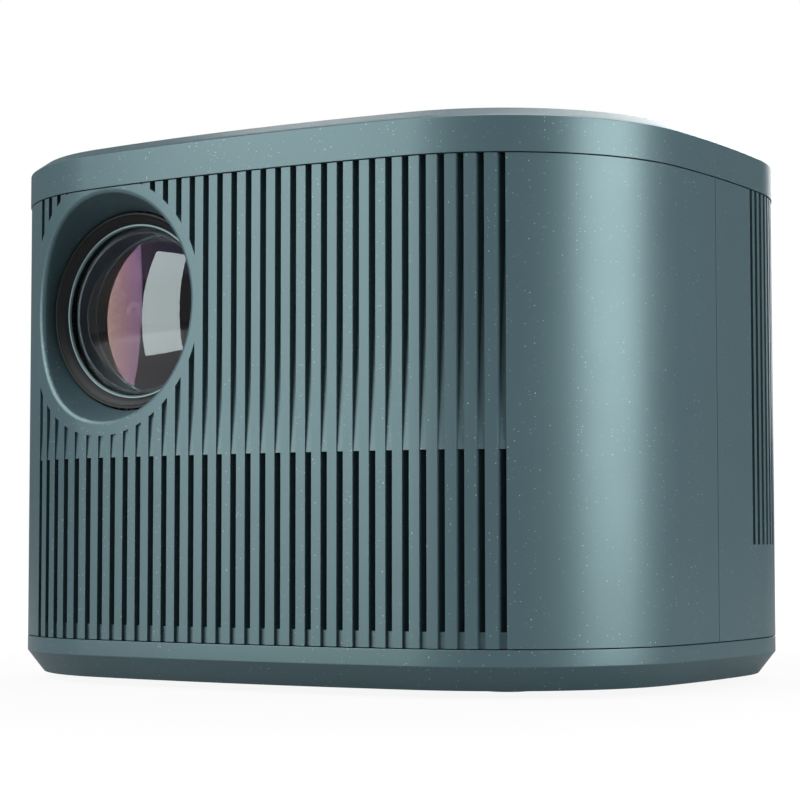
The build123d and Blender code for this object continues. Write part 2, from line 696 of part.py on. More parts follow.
with BuildPart() as top_cap:
    add(tapered(-CAP_OVERHANG, CAP_EDGE, CAP_INSET, CAP_TOP))
    add(slab(outline(-CAP_OVERHANG), CAP_BOTTOM, CAP_EDGE))
    add(slab(outline(WALL), CAP_BOTTOM - 1, KEY_PLATE_BOTTOM), mode=Mode.SUBTRACT)
    with BuildSketch(Plane.XY.offset(CAP_BOTTOM - LIP_DROP)):
        add(outline(LIP_INSET))
        add(outline(LIP_INSET + LIP_THICK), mode=Mode.SUBTRACT)
    extrude(amount=KEY_PLATE_BOTTOM - CAP_BOTTOM + LIP_DROP)
    tube_reach = RIM_RADIUS + FUNNEL_WALL + SLIDE_GAP
    lens_tube = turned([(0, -BODY_DEPTH), (tube_reach, -BODY_DEPTH), (tube_reach, 0), (0, 0)])
    add(lens_tube & slab(outline(WALL), 0, CAP_BOTTOM), mode=Mode.SUBTRACT)
    with BuildSketch(Plane.XY.offset(KEY_PLATE_BOTTOM)):
        with Locations((0, KEY_PAD_Y)):
            Circle(OK_RADIUS + KEY_GAP)
            for angle in ARROWS.values():
                add(key_face(KEY_GAP).rotate(Axis.Z, angle))
        with Locations((POWER_X, KEY_PAD_Y)):
            Circle(POWER_RADIUS + KEY_GAP)
    extrude(amount=CAP_PLATE, mode=Mode.SUBTRACT)
    with BuildSketch(Plane.XY.offset(KEY_PLATE_BOTTOM)):
        with Locations(*[(x, KEY_PAD_Y + dy) for x in (-28, 60) for dy in (-20, 20)]):
            Circle(2.6)
    extrude(amount=-(KEY_PLATE_BOTTOM - BOARD_DOME_TOP + DOME_HEIGHT))
save("top_cap", top_cap)


def round_key(radius, x):
    """Round key with a flange under the cap and a short stem over its switch."""
    with BuildPart() as key:
        with BuildSketch(Plane.XY.offset(KEY_PLATE_BOTTOM - SLIDE_GAP)):
            with Locations((x, KEY_PAD_Y)):
                Circle(radius)
        extrude(amount=KEY_TOP - KEY_PLATE_BOTTOM + SLIDE_GAP)
        fillet(key.faces().sort_by(Axis.Z)[-1].edges(), 0.5)
        with BuildSketch(Plane.XY.offset(KEY_PLATE_BOTTOM - SLIDE_GAP)):
            with Locations((x, KEY_PAD_Y)):
                Circle(radius + 0.9)
        extrude(amount=-KEY_FLANGE)
    return key


key_ok = round_key(OK_RADIUS, 0)
save("key_ok", key_ok)
key_power = round_key(POWER_RADIUS, POWER_X)
save("key_power", key_power)

for arrow_name, arrow_angle in ARROWS.items():
    with BuildPart() as arrow_key:
        with BuildSketch(Plane.XY.offset(KEY_PLATE_BOTTOM - SLIDE_GAP - KEY_FLANGE)):
            with Locations((0, KEY_PAD_Y)):
                add(key_face().rotate(Axis.Z, arrow_angle))
        extrude(amount=KEY_TOP - KEY_PLATE_BOTTOM + SLIDE_GAP + KEY_FLANGE)
        chamfer(arrow_key.faces().sort_by(Axis.Z)[-1].edges(), 0.4)
    save(arrow_name, arrow_key)

with BuildPart() as keypad_board:
    with BuildSketch(Plane.XY.offset(BOARD_DOME_TOP - DOME_HEIGHT)):
        with Locations((16, KEY_PAD_Y)):
            RectangleRounded(96, 48, 3)
    extrude(amount=-KEYPAD_THICK)
    with BuildSketch(Plane.XY.offset(BOARD_DOME_TOP - DOME_HEIGHT)):
        middle = (ARROW_INNER + ARROW_OUTER) / 2
        with Locations((0, KEY_PAD_Y), (POWER_X, KEY_PAD_Y)):
            Circle(3.0)
        with Locations((0, KEY_PAD_Y)):
            with PolarLocations(middle, 4):
                Circle(3.0)
    extrude(amount=DOME_HEIGHT)
save("keypad_board", keypad_board)

with BuildPart() as eject_key:
    with BuildSketch(EJECT_PLANE.offset(KEY_PROUD)):
        Circle(EJECT_RADIUS)
    extrude(amount=-EJECT_LENGTH)
    fillet(eject_key.faces().sort_by(Axis.Y)[-1].edges(), 0.5)
save("eject_key", eject_key)

# ---------------------------------------------------------------- lens and focus drive
STEM_GAP = SLIDE_GAP
MOUNT_RADIUS = BARREL_STEM_RADIUS + STEM_GAP + 3.0
RING_FRONT_Y = BARREL_SHOULDER_Y + 4.0
RING_BORE = MOUNT_RADIUS + SLIDE_GAP
ENGINE_FRONT_Y = LIGHT_Y - ENGINE_HALF - ENGINE_WALL

with BuildPart() as lens_barrel:
    add(turned([
        (BARREL_RADIUS, BARREL_FRONT_Y), (BARREL_RADIUS, BARREL_SHOULDER_Y),
        (BARREL_STEM_RADIUS, BARREL_SHOULDER_Y), (BARREL_STEM_RADIUS, BARREL_END_Y),
        (BARREL_STEM_RADIUS - 8, BARREL_END_Y), (BARREL_STEM_RADIUS - 8, BARREL_END_Y - 6),
        (BARREL_STEM_RADIUS - 4, BARREL_END_Y - 6), (BARREL_STEM_RADIUS - 4, BARREL_SHOULDER_Y - 3),
        (GLASS_RADIUS - 2.2, BARREL_SHOULDER_Y - 3), (GLASS_RADIUS - 2.2, GLASS_SEAT_Y + 2.4),
        (GLASS_RADIUS, GLASS_SEAT_Y + 2.4), (GLASS_RADIUS, GLASS_SEAT_Y - 1.2),
        (GLASS_RADIUS + 0.7, GLASS_SEAT_Y - 1.6), (BARREL_RADIUS - 1.0, BARREL_FRONT_Y + 0.4),
        (BARREL_RADIUS - 0.6, BARREL_FRONT_Y),
    ]))
save("lens_barrel", lens_barrel)


def glass(radius, front_y, edge, front_curve, back_curve):
    """Lens turned about the lens axis: convex in front, convex or hollow behind."""
    front_sag = front_curve - sqrt(front_curve ** 2 - radius ** 2)
    back_y = front_y + edge
    with BuildPart() as lens:
        with BuildSketch(LENS_SECTION):
            with BuildLine():
                apex = front_y - front_sag
                half = radius / 2
                on_front = front_y - front_sag + front_curve - sqrt(front_curve ** 2 - half ** 2)
                ThreePointArc((0, apex), (half, on_front), (radius, front_y))
                Line((radius, front_y), (radius, back_y))
                back_sag = abs(back_curve) - sqrt(back_curve ** 2 - radius ** 2)
                bulge = back_sag if back_curve > 0 else -back_sag
                half_sag = abs(back_curve) - sqrt(back_curve ** 2 - half ** 2)
                on_back = back_y + bulge - (half_sag if back_curve > 0 else -half_sag)
                ThreePointArc((radius, back_y), (half, on_back), (0, back_y + bulge))
                Line((0, back_y + bulge), (0, apex))
            make_face()
        revolve(axis=LENS_AXIS)
    return lens


front_lens = glass(GLASS_RADIUS, GLASS_SEAT_Y, 2.4, GLASS_CURVE, -160.0)
save("front_lens", front_lens)
rear_lens = glass(BARREL_STEM_RADIUS - 4, BARREL_END_Y - 10.1, 3.0, 70.0, 90.0)
save("rear_lens", rear_lens)

with BuildPart() as lens_mount:
    add(turned([
        (BARREL_STEM_RADIUS + STEM_GAP, BARREL_SHOULDER_Y + FOCUS_TRAVEL * 0.2),
        (MOUNT_RADIUS, BARREL_SHOULDER_Y + FOCUS_TRAVEL * 0.2), (MOUNT_RADIUS, ENGINE_FRONT_Y - 3),
        (MOUNT_RADIUS + 5, ENGINE_FRONT_Y - 3), (MOUNT_RADIUS + 5, ENGINE_FRONT_Y),
        (BARREL_STEM_RADIUS + STEM_GAP, ENGINE_FRONT_Y),
    ]))
    ring_back = RING_FRONT_Y + FOCUS_RING_WIDTH + SLIDE_GAP
    add(turned([
        (MOUNT_RADIUS - 1, ring_back), (MOUNT_RADIUS + 2.5, ring_back),
        (MOUNT_RADIUS + 2.5, ring_back + 2.5), (MOUNT_RADIUS - 1, ring_back + 2.5),
    ]))
    drive_distance = FOCUS_MODULE * (FOCUS_RING_TEETH + FOCUS_PINION_TEETH) / 2
    drive_x = LENS_X + drive_distance * cos(radians(FOCUS_DRIVE_ANGLE))
    drive_z = LENS_Z + drive_distance * sin(radians(FOCUS_DRIVE_ANGLE))
    bracket_y = ring_back + 2.5
    with BuildSketch(Plane(origin=(LENS_X, bracket_y, LENS_Z), x_dir=(1, 0, 0), z_dir=(0, -1, 0))):
        with PolarLocations(0, 1, start_angle=FOCUS_DRIVE_ANGLE):
            Rectangle(drive_distance + MOTOR_RADIUS + 1, 2 * MOTOR_RADIUS + 2,
                      align=(Align.MIN, Align.CENTER))
        Circle(MOUNT_RADIUS - 0.5, mode=Mode.SUBTRACT)
        with PolarLocations(drive_distance, 1, start_angle=FOCUS_DRIVE_ANGLE):
            Circle(2.2, mode=Mode.SUBTRACT)
    extrude(amount=2.5)
save("lens_mount", lens_mount)

drive_towards = (cos(radians(FOCUS_DRIVE_ANGLE)), 0, sin(radians(FOCUS_DRIVE_ANGLE)))
RING_PLANE = Plane(origin=(LENS_X, RING_FRONT_Y, LENS_Z), x_dir=drive_towards, z_dir=(0, 1, 0))
PINION_PLANE = Plane(origin=(drive_x, RING_FRONT_Y, drive_z), x_dir=drive_towards, z_dir=(0, 1, 0))
with BuildPart() as focus_ring:
    with BuildSketch(RING_PLANE):
        add(gear_face(FOCUS_RING_TEETH, FOCUS_MODULE))
        Circle(RING_BORE, mode=Mode.SUBTRACT)
    extrude(amount=FOCUS_RING_WIDTH)
save("focus_ring", focus_ring)

with BuildPart() as focus_pinion:
    with BuildSketch(PINION_PLANE):
        add(gear_face(FOCUS_PINION_TEETH, FOCUS_MODULE, 180 / FOCUS_PINION_TEETH))
    extrude(amount=FOCUS_RING_WIDTH)
    with BuildSketch(PINION_PLANE.offset(FOCUS_RING_WIDTH)):
        Circle(1.0)
    extrude(amount=MOTOR_LENGTH)
save("focus_pinion", focus_pinion)

with BuildPart() as focus_motor:
    with BuildSketch(PINION_PLANE.offset(FOCUS_RING_WIDTH + SLIDE_GAP + 2.5)):
        Circle(MOTOR_RADIUS)
    extrude(amount=MOTOR_LENGTH)
    with BuildSketch(PINION_PLANE.offset(FOCUS_RING_WIDTH + SLIDE_GAP + 2.5)):
        Circle(1.0 + SHAFT_GAP)
    extrude(amount=MOTOR_LENGTH - 2, mode=Mode.SUBTRACT)
save("focus_motor", focus_motor)

# ---------------------------------------------------------------- light engine
ENGINE_LEFT_X = LENS_X - ENGINE_HALF - ENGINE_WALL
ENGINE_BACK_Y = LIGHT_Y + ENGINE_HALF + ENGINE_WALL


def engine_plan(inset=0.0):
    """Plan of the light engine: a box whose far corner is cut along the mirror."""
    low_x = ENGINE_LEFT_X + inset
    low_y = ENGINE_FRONT_Y + inset
    high_x = ENGINE_RIGHT_X - inset
    high_y = ENGINE_BACK_Y - inset
    mirror_line = LIGHT_Y - LENS_X + (MIRROR_THICK + ENGINE_WALL - inset) * sqrt(2)
    with BuildSketch() as plan:
        with BuildLine():
            Polyline(
                (low_x, low_y), (high_x, low_y), (high_x, high_y), (high_y - mirror_line, high_y),
                (low_x, low_x + mirror_line), close=True,
            )
        make_face()
    return plan.sketch


with BuildPart() as engine_housing:
    add(slab(engine_plan(), ENGINE_BOTTOM, ENGINE_TOP))
    add(slab(engine_plan(ENGINE_WALL), ENGINE_BOTTOM + ENGINE_WALL, ENGINE_TOP + 1), mode=Mode.SUBTRACT)
    add(turned([(0, ENGINE_FRONT_Y - 1), (BARREL_STEM_RADIUS - 3, ENGINE_FRONT_Y - 1),
                (BARREL_STEM_RADIUS - 3, LIGHT_Y - ENGINE_HALF + 1), (0, LIGHT_Y - ENGINE_HALF + 1)]),
        mode=Mode.SUBTRACT)
    with BuildSketch(Plane.YZ.offset(ENGINE_RIGHT_X - ENGINE_WALL - 1)):
        with Locations((LIGHT_Y, LENS_Z)):
            Circle(CONDENSER_RADIUS - 3)
    extrude(amount=ENGINE_WALL + 2, mode=Mode.SUBTRACT)
    with BuildSketch(Plane.XY.offset(ENGINE_BOTTOM)):
        with Locations((PANEL_X, LIGHT_Y)):
            Circle(LCD_FAN_SIZE / 2 - 6)
    extrude(amount=ENGINE_WALL, mode=Mode.SUBTRACT)
    with BuildSketch(Plane.XY.offset(ENGINE_BOTTOM)):
        with Locations((ENGINE_RIGHT_X - 5, ENGINE_FRONT_Y + 5), (ENGINE_RIGHT_X - 5, ENGINE_BACK_Y - 5),
                       (ENGINE_LEFT_X + 8, ENGINE_FRONT_Y + 5)):
            Circle(4.0)
    extrude(amount=-(ENGINE_BOTTOM - FRAME_BOTTOM - FRAME_PLATE))
save("engine_housing", engine_housing)

with BuildPart() as engine_lid:
    add(slab(engine_plan(), ENGINE_TOP, ENGINE_TOP + ENGINE_WALL))
save("engine_lid", engine_lid)

MIRROR_PLANE = Plane(origin=(LENS_X, LIGHT_Y, LENS_Z), x_dir=(1, 1, 0), z_dir=(1, -1, 0))
with BuildPart() as fold_mirror:
    with BuildSketch(MIRROR_PLANE):
        Rectangle(2 * ENGINE_HALF * sqrt(2) - 8, 2 * PANEL_HALF_Z + 1.4)
    extrude(amount=-MIRROR_THICK)
save("fold_mirror", fold_mirror)


def framed_panel(x, thick):
    """Rectangular optical panel across the light path."""
    return block((x - thick / 2, LIGHT_Y - PANEL_HALF_Y, LENS_Z - PANEL_HALF_Z - 0.8),
                 (x + thick / 2, LIGHT_Y + PANEL_HALF_Y, LENS_Z + PANEL_HALF_Z + 2.6))


with BuildPart() as lcd_panel:
    add(framed_panel(PANEL_X, 3.0))
    with BuildSketch(Plane.YZ.offset(PANEL_X + 1.0)):
        with Locations((LIGHT_Y, LENS_Z)):
            Rectangle(58, 33)
    extrude(amount=1.0, mode=Mode.SUBTRACT)
save("lcd_panel", lcd_panel)

with BuildPart() as light_lenses:
    add(framed_panel(PANEL_X - FRESNEL_GAP, 2.0))
    add(framed_panel(PANEL_X + FRESNEL_GAP, 2.0))
    with BuildSketch(Plane.YZ.offset(ENGINE_RIGHT_X - ENGINE_WALL)):
        with Locations((LIGHT_Y, LENS_Z)):
            Circle(CONDENSER_RADIUS)
    extrude(amount=-3.0)
    ball = 34.0
    dome_drop = sqrt(ball ** 2 - CONDENSER_RADIUS ** 2)
    flat_x = ENGINE_RIGHT_X - ENGINE_WALL - 3.0
    dome = Pos(flat_x + dome_drop, LIGHT_Y, LENS_Z) * Sphere(ball, mode=Mode.PRIVATE)
    add(dome & block((-BODY_WIDTH, -BODY_DEPTH, 0), (flat_x + 0.1, BODY_DEPTH, CAP_TOP)))
save("light_lenses", light_lenses)

with BuildPart() as led_module:
    add(block((ENGINE_RIGHT_X + 2.4, LIGHT_Y - LED_HALF, LENS_Z - LED_HALF),
              (ENGINE_RIGHT_X + 4.0, LIGHT_Y + LED_HALF, LENS_Z + LED_HALF)))
    add(block((ENGINE_RIGHT_X + 1.4, LIGHT_Y - 7, LENS_Z - 7),
              (ENGINE_RIGHT_X + 2.4, LIGHT_Y + 7, LENS_Z + 7)))
    with BuildSketch(Plane.YZ.offset(ENGINE_RIGHT_X)):
        with Locations((LIGHT_Y, LENS_Z)):
            with GridLocations(2 * LED_HALF - 8, 2 * LED_HALF - 8, 2, 2):
                Circle(3.0)
    extrude(amount=2.4)
save("led_module", led_module)

SINK_X = ENGINE_RIGHT_X + 4.0
with BuildPart() as led_heatsink:
    add(block((SINK_X, LIGHT_Y - 28, LENS_Z - 29), (SINK_X + SINK_BASE, LIGHT_Y + 28, LENS_Z + 29)))
    with Locations((SINK_X + SINK_BASE, LIGHT_Y, LENS_Z)):
        with GridLocations(1, (56 - FIN_THICK) / (SINK_FINS - 1), 1, SINK_FINS):
            Box(SINK_LENGTH, FIN_THICK, 58, align=(Align.MIN, Align.CENTER, Align.CENTER))
save("led_heatsink", led_heatsink)

FAN_X = SINK_X + SINK_BASE + SINK_LENGTH
FAN_PLACE = Plane(origin=(FAN_X, LIGHT_Y, LENS_Z), x_dir=(0, 1, 0), z_dir=(1, 0, 0)).location
LCD_FAN_PLACE = Location((PANEL_X, LIGHT_Y, FRAME_BOTTOM + FRAME_PLATE))
for fan_name, place, size, depth, hub in (
    ("exhaust", FAN_PLACE, FAN_SIZE, FAN_DEPTH, 12.0),
    ("lcd_fan", LCD_FAN_PLACE, LCD_FAN_SIZE, LCD_FAN_DEPTH, 9.0),
):
    with BuildPart() as frame_piece:
        add(fan_frame(size, depth, 2.0, hub).moved(place))
    save(fan_name + "_frame", frame_piece)
    with BuildPart() as rotor_piece:
        add(fan_impeller(size, depth, 2.0, hub).moved(place))
    save(fan_name + "_impeller", rotor_piece)

# ---------------------------------------------------------------- speakers
with BuildPart() as speaker_frames:
    for side in (-1, 1):
        with BuildSketch(Plane.XZ.offset(-SPEAKER_FRONT_Y)):
            with Locations((side * SPEAKER_X, SPEAKER_Z)):
                RectangleRounded(SPEAKER_SIZE, SPEAKER_SIZE, 3)
                Circle(17.5, mode=Mode.SUBTRACT)
        extrude(amount=-2.0)
        with BuildSketch(Plane.XZ.offset(-SPEAKER_FRONT_Y - 2)):
            with Locations((side * SPEAKER_X, SPEAKER_Z)):
                Circle(19.0)
        with BuildSketch(Plane.XZ.offset(-SPEAKER_FRONT_Y - 12)):
            with Locations((side * SPEAKER_X, SPEAKER_Z)):
                Circle(11.0)
        loft()
        with BuildSketch(Plane.XZ.offset(-SPEAKER_FRONT_Y - 12)):
            with Locations((side * SPEAKER_X, SPEAKER_Z)):
                Circle(13.0)
        extrude(amount=-(SPEAKER_DEPTH - 12))
        with BuildSketch(Plane.XZ.offset(-SPEAKER_FRONT_Y - 2)):
            with Locations((side * SPEAKER_X, SPEAKER_Z)):
                Circle(17.5)
        with BuildSketch(Plane.XZ.offset(-SPEAKER_FRONT_Y - 11)):
            with Locations((side * SPEAKER_X, SPEAKER_Z)):
                Circle(9.5)
        loft(mode=Mode.SUBTRACT)
save("speaker_frames", speaker_frames)

with BuildPart() as speaker_cones:
    for side in (-1, 1):
        cone_axis = Axis((side * SPEAKER_X, 0, SPEAKER_Z), (0, 1, 0))
        centre = (side * SPEAKER_X, SPEAKER_FRONT_Y, SPEAKER_Z)
        with BuildSketch(Plane(origin=centre, x_dir=(1, 0, 0), z_dir=(0, 0, 1))):
            with BuildLine():
                Polyline((0, 4.5), (5.0, 6.0), (14.0, 1.2), (17.5, 1.2), (17.5, 2.0), (14.2, 2.2),
                         (5.2, 7.0), (0, 5.5), close=True)
            make_face()
        revolve(axis=cone_axis)
save("speaker_cones", speaker_cones)

# ---------------------------------------------------------------- electronics
BOARD_HALF_WIDTH = 58.0
PROCESSOR_Y = BOARD_FRONT_Y + 10.0    # near edge of the finned block on the processor
MEMORY_Y = BOARD_FRONT_Y + 20.0
CONVERTER_Y = BOARD_FRONT_Y + 18.0
CAPACITOR_Y = BOARD_FRONT_Y + 8.0
with BuildPart() as main_board:
    add(block((-BOARD_HALF_WIDTH, BOARD_FRONT_Y, BOARD_TOP - BOARD_THICK),
              (BOARD_HALF_WIDTH, JACK_WALL_Y - JACK_WALL - 1, BOARD_TOP)))
    add(block((-6, PROCESSOR_Y, BOARD_TOP), (14, PROCESSOR_Y + 20, BOARD_TOP + 6)))
    with Locations((34, MEMORY_Y, BOARD_TOP), (-26, CONVERTER_Y, BOARD_TOP)):
        Box(12, 10, 2.4, align=STANDING)
    with Locations(*[(x, CAPACITOR_Y, BOARD_TOP) for x in (-44, -36, 46)]):
        Cylinder(3.0, 8.0, align=STANDING)
save("main_board", main_board)

JACK_FRONT = JACK_WALL_Y + 0.8


def jack_row(places, width, height, depth, opening):
    """Row of boxed jacks on the main board, open towards +Y, each with its tongue."""
    open_width, open_height, tongue = opening
    with BuildPart() as row:
        for x in places:
            add(block((x - width / 2, JACK_FRONT - depth, BOARD_TOP),
                      (x + width / 2, JACK_FRONT, BOARD_TOP + height)))
        for x in places:
            middle = BOARD_TOP + height / 2
            add(block((x - open_width / 2, JACK_FRONT - depth + 2, middle - open_height / 2),
                      (x + open_width / 2, JACK_FRONT + 1, middle + open_height / 2)), mode=Mode.SUBTRACT)
        for x in places:
            shelf = BOARD_TOP + height / 2 + tongue
            add(block((x - open_width / 2 + 1.2, JACK_FRONT - depth + 1, shelf - 0.6),
                      (x + open_width / 2 - 1.2, JACK_FRONT - 2, shelf + 0.6)))
    return row


hdmi_ports = jack_row(HDMI_X, 15.0, 6.2, 12.0, (14.0, 5.2, 0.6))
save("hdmi_ports", hdmi_ports)
usb_ports = jack_row(USB_X, 13.4, 6.8, 15.0, (12.4, 5.4, 1.4))
save("usb_ports", usb_ports)

with BuildPart() as av_jacks:
    for x in AV_X:
        add(block((x - 3, JACK_FRONT - 12, BOARD_TOP), (x + 3, JACK_FRONT - 2.8, BOARD_TOP + 6)))
    with BuildSketch(Plane.XZ.offset(-JACK_FRONT + 2.8)):
        with Locations(*[(x, BOARD_TOP + 3.2) for x in AV_X]):
            Circle(2.9)
    extrude(amount=-2.8)
    with BuildSketch(Plane.XZ.offset(-JACK_FRONT)):
        with Locations(*[(x, BOARD_TOP + 3.2) for x in AV_X]):
            Circle(1.8)
    extrude(amount=10.0, mode=Mode.SUBTRACT)
save("av_jacks", av_jacks)

with BuildPart() as power_inlet:
    add(block((INLET_X - INLET_WIDTH / 2, JACK_FRONT - 16, BOARD_TOP),
              (INLET_X + INLET_WIDTH / 2, JACK_FRONT, BOARD_TOP + INLET_HEIGHT)))
    with BuildSketch(Plane.XZ.offset(-JACK_FRONT)):
        with Locations((INLET_X, BOARD_TOP + INLET_HEIGHT / 2)):
            SlotOverall(16.6, 8.4)
    extrude(amount=13.0, mode=Mode.SUBTRACT)
    with BuildSketch(Plane.XZ.offset(-JACK_FRONT + 13.0)):
        pin_z = BOARD_TOP + INLET_HEIGHT / 2
        with Locations((INLET_X - 4.3, pin_z), (INLET_X + 4.3, pin_z)):
            Circle(1.2)
    extrude(amount=-10.5)
save("power_inlet", power_inlet)

with BuildPart() as psu_board:
    with Locations((PSU_X, PSU_Y, BOARD_TOP)):
        Box(PSU_WIDTH, PSU_LENGTH, BOARD_THICK, align=(Align.CENTER, Align.CENTER, Align.MAX))
    with Locations((PSU_X, PSU_Y + 10, BOARD_TOP)):
        Box(*TRANSFORMER, align=STANDING)
    with Locations(*[(PSU_X + dx, PSU_Y + dy, BOARD_TOP) for dx, dy in ((0, -21), (-10, 30), (4, 30))]):
        Cylinder(6.0, 16.0, align=STANDING)
    with Locations((PSU_X - PSU_WIDTH / 2 + 1, PSU_Y + 8, BOARD_TOP)):
        Box(*PSU_SINK, align=(Align.MIN, Align.CENTER, Align.MIN))
save("psu_board", psu_board)

# ---------------------------------------------------------------- disc loader: chassis
LEDGE_TOP = TRAY_BOTTOM - SLIDE_GAP
INNER_X = CHASSIS_HALF_WIDTH - CHASSIS_WALL
TRAY_TOP = TRAY_BOTTOM + TRAY_RIM
DECK_TOP = CHASSIS_BOTTOM + CHASSIS_DECK
PULLEY_X = DRIVE_X - WHEEL_MODULE * (WHEEL_TEETH + PULLEY_GEAR_TEETH) / 2

with BuildPart() as loader_chassis:
    for side in (-1, 1):
        wall_out = side * CHASSIS_HALF_WIDTH
        wall_in = side * INNER_X
        near, far = sorted((wall_out, wall_in))
        add(block((near, CHASSIS_STEP_Y, CHASSIS_BOTTOM), (far, CHASSIS_REAR_Y, FRAME_BOTTOM)))
        add(block((near, CHASSIS_FRONT_Y, CHASSIS_STEP_Z), (far, CHASSIS_STEP_Y, FRAME_BOTTOM)))
        low, high = sorted((side * (INNER_X - LEDGE_WIDTH), wall_in))
        add(block((low, CHASSIS_STEP_Y, LEDGE_TOP - LEDGE_THICK), (high, CHASSIS_REAR_Y, LEDGE_TOP)))
        add(block((low, CHASSIS_FRONT_Y, CHASSIS_STEP_Z - 0.9), (high, CHASSIS_STEP_Y, LEDGE_TOP)))
        for tab_y in (CHASSIS_STEP_Y - 10, PIVOT_Y + 40, DRIVE_Y - 6):
            add(block((low, tab_y, TRAY_TOP + SLIDE_GAP), (high, tab_y + 12, TRAY_TOP + SLIDE_GAP + 2)))
    deck_width = 2 * INNER_X + 1
    add(block((-deck_width / 2, TRAVERSE_FRONT_Y + CAM_CLEARANCE, CHASSIS_BOTTOM),
              (deck_width / 2, CHASSIS_REAR_Y, DECK_TOP)))
    add(block((-deck_width / 2, CHASSIS_STEP_Y, CHASSIS_BOTTOM), (deck_width / 2, PIVOT_Y - 3, DECK_TOP)))
    for side in (-1, 1):
        low, high = sorted((side * (TRAVERSE_HALF_WIDTH + 1), side * (INNER_X + 0.5)))
        add(block((low, CHASSIS_STEP_Y, CHASSIS_BOTTOM), (high, TRAVERSE_FRONT_Y + CAM_CLEARANCE, DECK_TOP)))
        ear_low, ear_high = sorted((side * (TRAVERSE_HALF_WIDTH + 1), side * (TRAVERSE_HALF_WIDTH + 4)))
        add(block((ear_low, PIVOT_Y - 4, DECK_TOP), (ear_high, PIVOT_Y + 4, PIVOT_Z + 4)))
        with BuildSketch(Plane.YZ.offset(side * (TRAVERSE_HALF_WIDTH + 2.5))):
            with Locations((PIVOT_Y, PIVOT_Z)):
                Circle(ROD_RADIUS + SHAFT_GAP)
        extrude(amount=3, both=True, mode=Mode.SUBTRACT)
    with Locations((DRIVE_X, DRIVE_Y, DECK_TOP)):
        Cylinder(AXLE_RADIUS + 1.5, WHEEL_BOTTOM - DECK_TOP - SLIDE_GAP, align=STANDING)
        Cylinder(AXLE_RADIUS, PINION_BOTTOM + PINION_WIDTH - DECK_TOP, align=STANDING)
    with Locations((PULLEY_X, DRIVE_Y, DECK_TOP)):
        Cylinder(AXLE_RADIUS + 1.5, PULLEY_BOTTOM - DECK_TOP - SLIDE_GAP, align=STANDING)
        Cylinder(AXLE_RADIUS, WHEEL_BOTTOM + WHEEL_WIDTH - DECK_TOP, align=STANDING)
    with Locations((MOTOR_PULLEY_X, MOTOR_PULLEY_Y, CHASSIS_BOTTOM)):
        Cylinder(3.0, 3 * CHASSIS_DECK, mode=Mode.SUBTRACT)
    near_beam = TRAVERSE_FRONT_Y + CAM_CLEARANCE
    far_beam = near_beam + CAM_BEAM + CAM_THICK + 2 * SLIDE_GAP
    for beam_low, beam_high, beam_y in (
        (CAM_LOW_X - 2 * CAM_TRAVEL, CAM_PIN_X - 5, near_beam),
        (CAM_PIN_X + 5, CAM_HIGH_X + 4, near_beam),
        (CAM_LOW_X - 2 * CAM_TRAVEL, CAM_HIGH_X + 4, far_beam),
    ):
        add(block((beam_low, beam_y, DECK_TOP), (beam_high, beam_y + CAM_BEAM, DECK_TOP + 2.6)))
    notch = BRIDGE_HALF_DEPTH + SLIDE_GAP
    for side in (-1, 1):
        low, high = sorted((side * 64, side * 71))
        add(block((low, DISC_Y - notch, BRIDGE_Z), (high, DISC_Y + notch, FRAME_BOTTOM)),
            mode=Mode.SUBTRACT)
save("loader_chassis", loader_chassis)

# ---------------------------------------------------------------- disc loader: tray
PINION_PITCH_RADIUS = RACK_MODULE * PINION_TEETH / 2
RACK_PITCH_X = DRIVE_X + PINION_PITCH_RADIUS
RACK_STEP = pi * RACK_MODULE
RACK_BACK = int(TRAY_TRAVEL / RACK_STEP) + 2   # teeth behind the pinion
RACK_AHEAD = 2             # teeth in front of it

